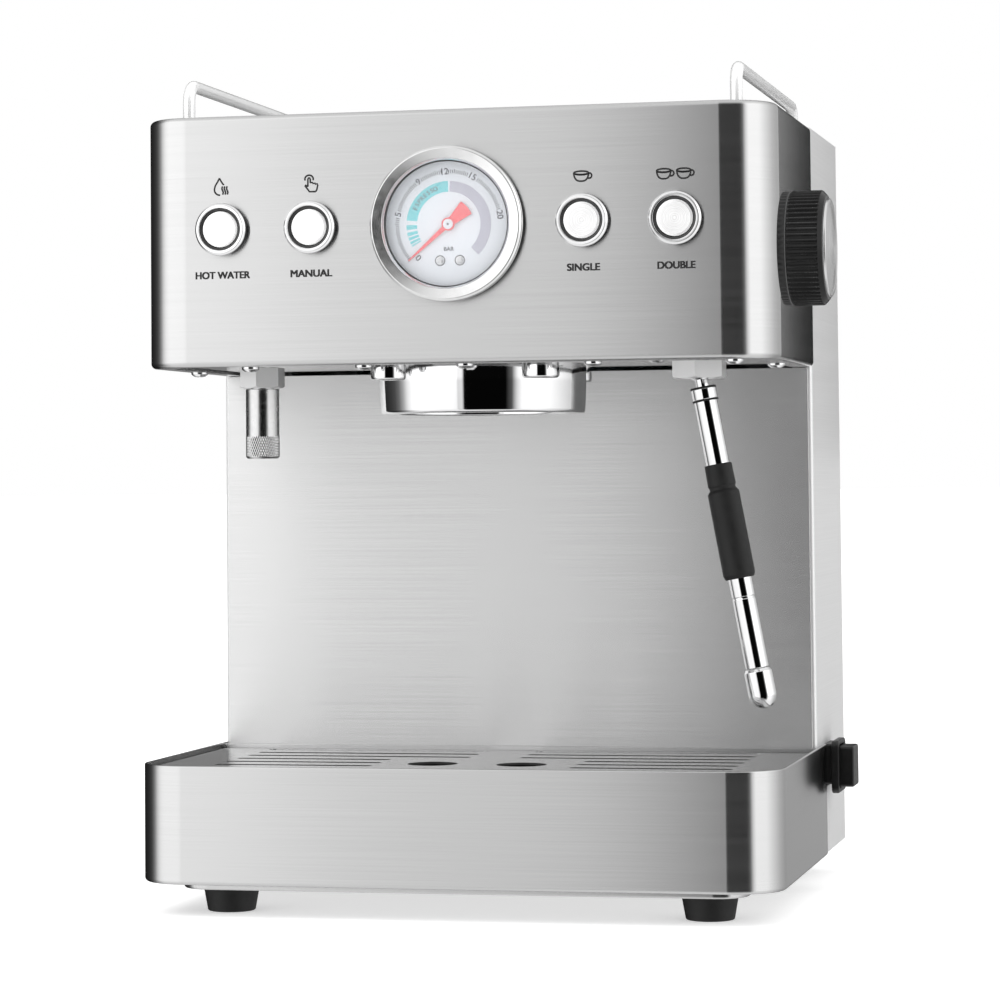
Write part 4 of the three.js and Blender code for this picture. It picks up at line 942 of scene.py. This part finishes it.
# --- steam knob
def steam_knob():
    low, high, centre = extent("steam_knob")
    radius, outer = (high.z - low.z) / 2, high.x
    ring_low, ring_high = span("knob_collar")
    inner = ring_high.x + 0.3

    def dip(angle):
        return (0.5 + 0.5 * math.cos(RIBS * angle))

    def ribs(angle, r, height):
        ribbed = inner + 0.8 < height < outer - 1.9 and r > radius - 1.5
        return r - 0.95 * dip(angle) ** 2 if ribbed else r

    turned("knob_grip", [
        (0, low.x), (3, low.x), (3, inner), (radius - 0.6, inner, 0.3), (radius - 0.2, inner + 0.8),
        (radius, inner + 0.9), (radius, outer - 2.4), (radius - 0.3, outer - 1.8, 0.3),
        (radius - 2.3, outer, 0.5), (0, outer)], "steam_knob", RIBS * 8, ribs,
        at=(0, centre.y, centre.z), turn=RIGHT, sharp=50, look=KNOB_BLACK)
    cap_low, cap_high = span("knob_cap")
    rim, thick = (cap_high.z - cap_low.z) / 2, cap_high.x - cap_low.x
    turned("knob_disc", [
        (0, 0), (rim, 0), (rim, thick - 0.9, 0.5), (rim - 2.2, thick - 0.7, 0.8),
        (rim - 2.7, thick - 0.95, 0.2), (rim * 0.45, thick - 0.1, 8), (0, thick)], "knob_cap", 128,
        at=(cap_low.x, centre.y, centre.z), turn=RIGHT, look=SPUN_STEEL)
    ring, depth = (ring_high.z - ring_low.z) / 2, ring_high.x - ring_low.x

    def flutes(angle, r, height):
        return r - 0.3 * dip(angle) if r > ring - 0.6 and 0.5 < height < depth - 0.5 else r

    turned("knob_base", [
        (6, 0), (ring, 0, 0.3), (ring, 0.6), (ring, depth - 0.6), (ring, depth, 0.3), (6, depth)],
        "knob_collar", RIBS * 6, flutes, closed=True, at=(ring_low.x, centre.y, centre.z), turn=RIGHT, sharp=50)


# --- brew group
def brew_group():
    low, high, centre = extent("group_collar")
    at = (centre.x, centre.y, 0)
    radius = (high.x - low.x) / 2
    throat, bore, ceiling, boss_foot = 11.7, 36.8, high.z - 6.5, high.z - 7.3
    profile = filleted([
        (throat, ceiling), (bore, ceiling, 1.5), (bore, low.z, 0.9), (radius - 0.7, low.z, 1.6),
        (radius, boss_foot, 40), (radius, high.z), (throat, high.z)], closed=True, steps=6)
    boss_top = high.z - 0.02
    boss = lathe("boss", filleted([(0, boss_foot), (8, boss_foot, 1.2), (8, boss_top), (0, boss_top)]), 64)
    bosses = [(boss, (x, y, 0)) for x in (-34, 34) for y in (-37, 37)]
    ring = combined(lathe("group_ring", profile, 192), bosses, "UNION")
    ring = combined(ring, [(drum(bore, 12, 192), (0, 0, ceiling - 12.01))])
    piece("group_ring", ring, "group_collar", at=at)
    gasket_low, gasket_high = span("group_gasket")
    inner, outer = 28.6, (gasket_high.x - gasket_low.x) / 2
    turned("group_seal", [(inner, gasket_high.z), (outer, gasket_high.z), (outer, gasket_low.z, 0.8),
                          (inner, gasket_low.z, 0.8)], "group_gasket", 128, closed=True, at=at)
    screen_low, screen_high = span("shower_screen")
    edge = (screen_high.x - screen_low.x) / 2
    holes = [circle(x, y, 0.9, 10) for row in range(1, 5)
             for x, y in circle(0, 0, 6 + 4.6 * row, 8 * row)]
    sieve = plate("shower_sieve", [circle(0, 0, edge, 96), circle(0, 0, 5.2, 24), *holes], 1.4, 0.2)
    piece("shower_sieve", sieve, "shower_screen", at=(centre.x, centre.y, screen_low.z + 1.9), look=LEVEL_STEEL)
    bottom = screen_low.z
    bolt = filleted([(0, bottom), (5, bottom, 0.6), (5, bottom + 1.2), (8, bottom + 2.7),
                     (8, screen_high.z), (0, screen_high.z)])
    bolt = combined(lathe("shower_bolt", bolt, 64), [(block("bar", (4.5, 4.5, 2)), (0, 0, bottom))])
    piece("shower_bolt", bolt, at=at, slot="brushed_steel", look=LOOKS["chrome"])


# --- spout and wand
def hex_nut(node, name, corner, bore):
    """A hexagon nut with flats to the left and right, and corners eased by a cone."""
    low, high = span(node)
    height = high.z - low.z
    top = height + 0.01
    prism = loft(name, polygon([(y, x) for x, y in ngon(corner)]), [(0, 0), (0, height)])
    cone = filleted([(0, -0.01), (corner - 1.5, -0.01), (corner + 0.1, 0.9), (corner + 0.1, top), (0, top)])
    eased = combined(prism, [(lathe("cone", cone, 64), (0, 0, 0))], "INTERSECT")
    nut = combined(eased, [(drum(bore, height * 2), (0, 0, 0))])
    piece(name, nut, node, at=((low.x + high.x) / 2, (low.y + high.y) / 2, low.z), look=NUT_STEEL)


def hot_water_spout():
    low, high, centre = extent("hot_water_spout")
    radius = (high.x - low.x) / 2
    shoulder = span("hot_water_nut")[0].z - 0.3

    def knurl(angle, r, height):
        rise = height - low.z
        if not 1.2 < rise < 10 or r < radius - 0.5:
            return r
        return r - 0.16 * (1 - max(math.cos(KNURLS * angle + slant * rise) for slant in (2.6, -2.6)))

    turned("spout_tube", [
        (3, low.z), (radius - 0.9, low.z, 0.2), (radius, low.z + 0.9, 0.2),
        *((radius, low.z + 1.3 + 0.3 * k) for k in range(29)), (radius - 0.1, low.z + 10.2),
        (radius - 0.1, shoulder, 0.4), (5.2, shoulder), (5.2, high.z), (3, high.z)], "hot_water_spout",
        KNURLS * 6, knurl, closed=True, at=(centre.x, centre.y, 0), sharp=40, look=SPOUT_STEEL)
    hex_nut("hot_water_nut", "spout_nut", 10.3, 5.6)


def steam_wand():
    """The nut and its socket, then the tube and what is on it, leaning from the middle of the ball."""
    hex_nut("wand_block", "wand_nut", 12.6, 9.3)
    low, high, centre = extent("wand_socket")
    inner, outer, tall = 6.35, (high.x - low.x) / 2, high.z - low.z
    turned("wand_seat", [(inner, 0), (outer, 0, 0.5), (outer, tall, 0.5), (inner, tall, 0.5)], "wand_socket",
           64, closed=True, at=(centre.x, centre.y, low.z))
    at = Vector(next(j["pos_m"] for j in frame["joints"] if j["name"] == "wand_tilt")) / MM
    lean = spun(-WAND_LEAN, "Y")

    def along(name, points, node=None, segments=64, **how):
        """A turned piece whose profile is (radius, distance down the wand)."""
        down = [(point[0], -point[1], *point[2:]) for point in points]
        turned(name, down, node, segments, at=at, turn=lean, body="steam_wand", **how)

    ball = [(max(x, 0), -y) for x, y in arc((0, 0), 6.0, 90, -61, 14)]
    along("wand_pipe_bent", [
        *ball, (2.9, 8.6), (4.7, 8.8, 0.3), (4.7, 9.2), (5.5, 9.5, 0.3), (5.5, 14.0, 0.3), (5.1, 14.3),
        (5.1, 101.5, 0.2), (4.9, 101.9), (4.9, 102.5), (5.1, 102.9, 0.2), (5.1, 133.2, 0.4), (0, 133.2)],
        "wand_tube", 72)
    for number, t in enumerate((9.0, 14.6), 1):
        along(f"wand_seal_{number}", [
            (4.9, t - 0.45), (5.75, t - 0.45, 0.3), (5.75, t + 0.45, 0.3), (4.9, t + 0.45)],
            look=LOOKS["black_rubber"], closed=True, slot="black_rubber")
    along("wand_sleeve", [
        (5.2, 43, 0.2), (6.0, 43, 0.5), (6.2, 52.4, 0.5), (5.75, 53.2, 0.3), (5.75, 54.2, 0.3),
        (7.0, 55.6, 0.8), (7.05, 91.8, 1.2), (6.3, 93.6, 0.4), (5.2, 93.6, 0.2)], "wand_grip", closed=True)
    nose = [(max(x, 0), TIP_DOWN - y) for x, y in arc((0, 0), TIP_RADIUS, 0, -90, 10)]
    along("wand_nozzle", [(0, 133.5), (5.2, 133.5, 0.2), (TIP_RADIUS, 134.8, 0.4), *nose], "wand_tip", 72)
    for number in range(4):
        hole = lathe("hole", filleted([(0, 0), (0.75, 0), (0.75, 0.06), (0, 0.06)]), 20)
        hole.transform(placed((0, 0, TIP_RADIUS - 0.02)))
        spread = spun(90 * number + 20) @ spun(38, "Y")
        tip = lean @ placed((0, 0, -TIP_DOWN)) @ spun(180, "X") @ spread
        piece(f"wand_hole_{number + 1}", hole, at=at, turn=tip, body="steam_wand", slot="black_rubber")


# --- water tank
def water_tank():
    """The tank with two hinge ears, and its lid with a barrel, a rod and a finger grip."""
    low, high = span("water_tank")
    lid_low, lid_high = span("tank_lid")
    rim, floor = lid_low.z - 1.6, low.z + 2
    section = filleted([(4, low.z), (0, low.z, 2.5), (0, rim, 0.6), (2, rim, 0.6), (2, floor, 1.5), (6, floor)])
    outline = rounded_box((low.x, low.y), (high.x, high.y - 4), 6, 8)
    piece("tank_body", loft("tank_body", outline, section), "water_tank")
    pin = Vector(((low.x + high.x) / 2, lid_high.y - 2.4, high.z - 3))
    ear_reach = 67
    ears = pin.x - ear_reach, pin.x + ear_reach
    for x, name in zip(ears, SIDES):
        ear = combined(block("ear", (11, 6, 5), 2.4, 0.5), [(drum(1.9, 8), (2.4, 0, 0))])
        piece("tank_ear_" + name, ear, at=(x, pin.y, pin.z - 2.4), turn=RIGHT, body="water_tank",
              slot="clear_tank")
    top = lid_low.z + 2.6
    cover = loft("tank_cover", rounded_box(lid_low, lid_high, 5, 8), filleted([
        (9, lid_low.z), (0, lid_low.z, 0.6), (0, top, 1.1), (5, top, 0.5), (5.6, top - 0.7, 0.3),
        (9, top - 0.7)]))
    notch = block("notch", (6.4, 16, 20))
    cover = combined(cover, [(notch, (x, lid_high.y, lid_low.z)) for x in ears])
    barrel = lathe("barrel", filleted([(0, -63.5), (2.9, -63.5, 0.4), (2.9, 63.5, 0.4), (0, 63.5)]), 40)
    rod = lathe("rod", [(0, -69), (1.6, -69), (1.6, 69), (0, 69)], 32)
    grip = block("grip", (36, 5, 5), 2.2, 1.2)
    cover = combined(cover, [(barrel, pin, RIGHT), (rod, pin, RIGHT),
                             (grip, (pin.x, lid_low.y + 2.7, top + 1.4))], "UNION")
    piece("tank_cover", cover, "tank_lid")


# --- power
def power_switch():
    """A rocker: a flange round a well, a neck through the sheet, the key and the key's stem."""
    low, high = span("power_switch_body")
    button_low, button_high = span("power_button")
    centre, button = (low + high) / 2, (button_low + button_high) / 2
    depth, key_depth = 3.4, 7.3
    tall, long = high.z - low.z, high.y - low.y
    well_tall, well_long = tall - 4.4, long - 8.2
    ring = [rounded_box((-up / 2, -wide / 2), (up / 2, wide / 2), corner)(0)
            for up, wide, corner in ((tall, long, 3.0), (well_tall, well_long, 1.6))]
    piece("switch_flange", plate("switch_flange", ring, depth, 0.7), "power_switch_body",
          at=(high.x - depth / 2, centre.y, centre.z), turn=RIGHT)
    neck_depth = high.x - depth - low.x
    neck = block("switch_neck", (tall - 5.5, long - 4, neck_depth), 1.2, 0.3)
    piece("switch_neck", neck, at=(low.x + neck_depth / 2, centre.y, centre.z + 1.3), turn=RIGHT,
          slot="black_plastic")
    back = button_high.x - key_depth
    key = block("switch_key", (well_tall - 0.9, well_long - 0.9, key_depth), 1.4, 0.9)
    piece("switch_key", key, "power_button", at=(back + key_depth / 2, button.y, centre.z), turn=RIGHT)
    stem = block("switch_stem", (6.6, 6.6, back - button_low.x), 0.6)
    piece("switch_stem", stem, at=((back + button_low.x) / 2, button.y, button.z), turn=RIGHT,
          body="power_button", slot="black_plastic")


def mains_inlet():
    """A three-pin socket in a flange held by two screws."""
    low, high, centre = extent("mains_inlet")
    wide, tall = high.x - low.x, high.z - low.z
    screw_reach = 18.5
    outline = rounded_box((-wide / 2, -tall / 2), (wide / 2, tall / 2), 5)
    mouth = rounded_box((-11.5, -7.5), (11.5, 7.5), 2.2)
    seats = [circle(x, 0, 3.7) for x in (-screw_reach, screw_reach)]
    flange = plate("inlet_flange", [outline(0), mouth(0), *seats], 1.3, 0.35)
    piece("inlet_flange", flange, "mains_inlet", at=(centre.x, high.y - 0.65, centre.z), turn=BACK)
    body = combined(block("inlet_body", (wide - 10.6, tall - 6, 19), 1.5, 0.3),
                    [(block("room", (23, 15, 16), 2.2), (0, 0, 3.5))])
    piece("inlet_body", body, at=(centre.x, high.y - 1.35 - 9.5, centre.z), turn=BACK, slot="black_plastic")
    for number, (x, rise) in enumerate(((-7, -2), (0, 2), (7, -2)), 1):
        blade = block(f"inlet_blade_{number}", (2, 4, 12), 0.4, 0.3)
        piece(f"inlet_blade_{number}", blade, at=(centre.x + x, high.y - 9.6, centre.z + rise), turn=BACK,
              slot="brass")
    screws("inlet_screw", [(centre.x + side * screw_reach, high.y - 1.3, centre.z) for side in (-1, 1)],
           0.5, FRONT)


# --- studio
def camera():
    data = bpy.data.cameras.new("camera")
    data.lens = 125.06
    data.sensor_width = 36
    data.shift_x, data.shift_y = CAMERA_SHIFT
    data.clip_start = 0.05
    yaw, pitch, roll = CAMERA_TURN
    ahead = Vector((-math.sin(yaw) * math.cos(pitch), math.cos(yaw) * math.cos(pitch), math.sin(pitch)))
    right = Vector((math.cos(yaw), math.sin(yaw), 0))
    up = right.cross(ahead)
    across = right * math.cos(roll) + up * math.sin(roll)
    upward = up * math.cos(roll) - right * math.sin(roll)
    turn = Matrix((across, upward, -ahead)).transposed().to_4x4()
    SCENE.camera = add_object("camera", data, Matrix.Translation(CAMERA_PLACE) @ turn)


def world():
    """Soft light from all round: wide pale panels, with dark gaps between them that draw the steel's edges."""
    data = bpy.data.worlds.new("studio")
    SCENE.world = data
    data.use_nodes = True
    tree = data.node_tree

    def add(kind, inputs=None, **settings):
        return add_node(tree, kind, inputs, **settings).outputs

    def maths(operation, *inputs):
        return add("Math", dict(enumerate(inputs)), operation=operation)["Value"]

    parts = add("SeparateXYZ", {"Vector": add("TexCoord")["Generated"]})
    around = maths("ARCTAN2", parts["X"], maths("MULTIPLY", parts["Y"], -1.0))
    panels = add_node(tree, "ValToRGB", {"Fac": maths("MULTIPLY_ADD", around, 0.5 / math.pi, 0.5)})
    stops = panels.color_ramp.elements
    while len(stops) > 1:
        stops.remove(stops[-1])
    for number, (degrees, level) in enumerate(PANELS):
        position = (degrees + 180) / 360
        stop = stops.new(position) if number else stops[0]
        stop.position = position
        stop.color = (level, level, level, 1)
    rise = maths("MINIMUM", maths("MULTIPLY_ADD", parts["Z"], RISE, RISE_LEVEL), RISE_LIMITS[1])
    rise = maths("MAXIMUM", rise, RISE_LIMITS[0])
    raised = add("VectorMath", {0: panels.outputs["Color"], "Scale": rise}, operation="SCALE")[0]
    poles = add("MapRange", {"Value": maths("ABSOLUTE", parts["Z"]), "From Min": 0.42, "From Max": 0.85},
                interpolation_type="SMOOTHSTEP")["Result"]
    lit = add("Mix", {0: poles, 6: raised, 7: (0.95, 0.95, 0.95, 1)}, data_type="RGBA")[2]
    seen = add("LightPath")["Is Camera Ray"]
    backdrop = add("Mix", {0: seen, 6: lit, 7: (1, 1, 1, 1)}, data_type="RGBA")[2]
    tree.links.new(backdrop, tree.nodes["Background"].inputs["Color"])


def softbox(name, at, size, watts):
    """A large soft lamp aimed at the middle of the machine."""
    data = bpy.data.lights.new(name, "AREA")
    data.shape = "DISK"
    data.size = size
    data.energy = watts
    obj = add_object(name, data)
    obj.location = at
    obj.rotation_euler = (Vector((0, 0, 0.2)) - Vector(at)).to_track_quat("-Z", "Y").to_euler()
    obj.visible_glossy = False


def flag():
    """A dark card behind the machine that only reflections see: it draws the fall-off along the right side."""
    right, rear = CAD_BOUNDS[1][0], CAD_BOUNDS[1][1]
    bm = bmesh.new()
    bmesh.ops.create_grid(bm, x_segments=1, y_segments=1, size=0.5)
    mesh = unmade("flag", bm)
    mesh.materials.append(moulded("flag_cloth", 0.004, 0.008, 0.9, 0.95, 900.0, 10, specular_ior_level=0.0))
    middle_at = (right + FLAG_REACH - FLAG_WIDTH / 2, rear + FLAG_BEHIND, FLAG_LOW + FLAG_HEIGHT / 2)
    stretch = Matrix.Diagonal((FLAG_WIDTH, FLAG_HEIGHT, 1, 1))
    card = add_object("flag", mesh, Matrix.Translation(middle_at) @ FRONT @ stretch)
    card.visible_camera = card.visible_diffuse = card.visible_shadow = False


def studio():
    world()
    flag()
    softbox("key", (-1.3, -1.7, 1.9), 1.6, 18)
    softbox("fill", (1.7, -0.9, 1.4), 1.6, 9)
    look = Look("pale_floor", specular_ior_level=0.0, emission_color=(1, 1, 1, 1), emission_strength=0.45)
    fac = look.noise((3, 3, 3))
    look.tint(fac, 0.93, 0.95).rough(fac, 0.85, 0.9)
    bm = bmesh.new()
    bmesh.ops.create_circle(bm, cap_ends=True, segments=96, radius=60)
    mesh = unmade("floor", bm)
    mesh.materials.append(look.material)
    floor = add_object("floor", mesh)
    floor.visible_glossy = False
    SCENE.view_settings.view_transform = "Standard"


for node, obj in frame["nodes"].items():
    obj.data.materials.clear()
    obj.data.materials.append(LOOKS[SLOT_OF[node]])

camera()
studio()
head()
head_under_plate()
flange_screws()
top()
for side in SIDES:
    cup_rail(side)
    side_panel(side)
rear_panel()
splash()
base()
floor_plate()
for node in ("foot_front_left", "foot_front_right", "foot_rear_left", "foot_rear_right"):
    foot(node)
drip_grate()
drip_basin()
gauge_dial()
gauge_front()
gauge_needle()
for button in BUTTONS:
    push_button(button)
button_print("hot_water", "HOT WATER", 24.4, drop_strokes())
button_print("manual", "MANUAL", 18.4, hand_strokes())
button_print("single_cup", "SINGLE", 14, cup_strokes(-0.6, 6.4))
button_print("double_cup", "DOUBLE", 16, cup_strokes(-5.0, 6.0) + cup_strokes(3.6, 6.0))
steam_knob()
brew_group()
hot_water_spout()
steam_wand()
water_tank()
power_switch()
mains_inlet()

# The splash plate is satin in the photograph: it mirrors none of the parts that hang in front of it.
for obj in SCENE.objects:
    if obj.name.startswith(("group_", "shower_", "spout_", "wand_", "knob_")):
        obj.visible_glossy = False
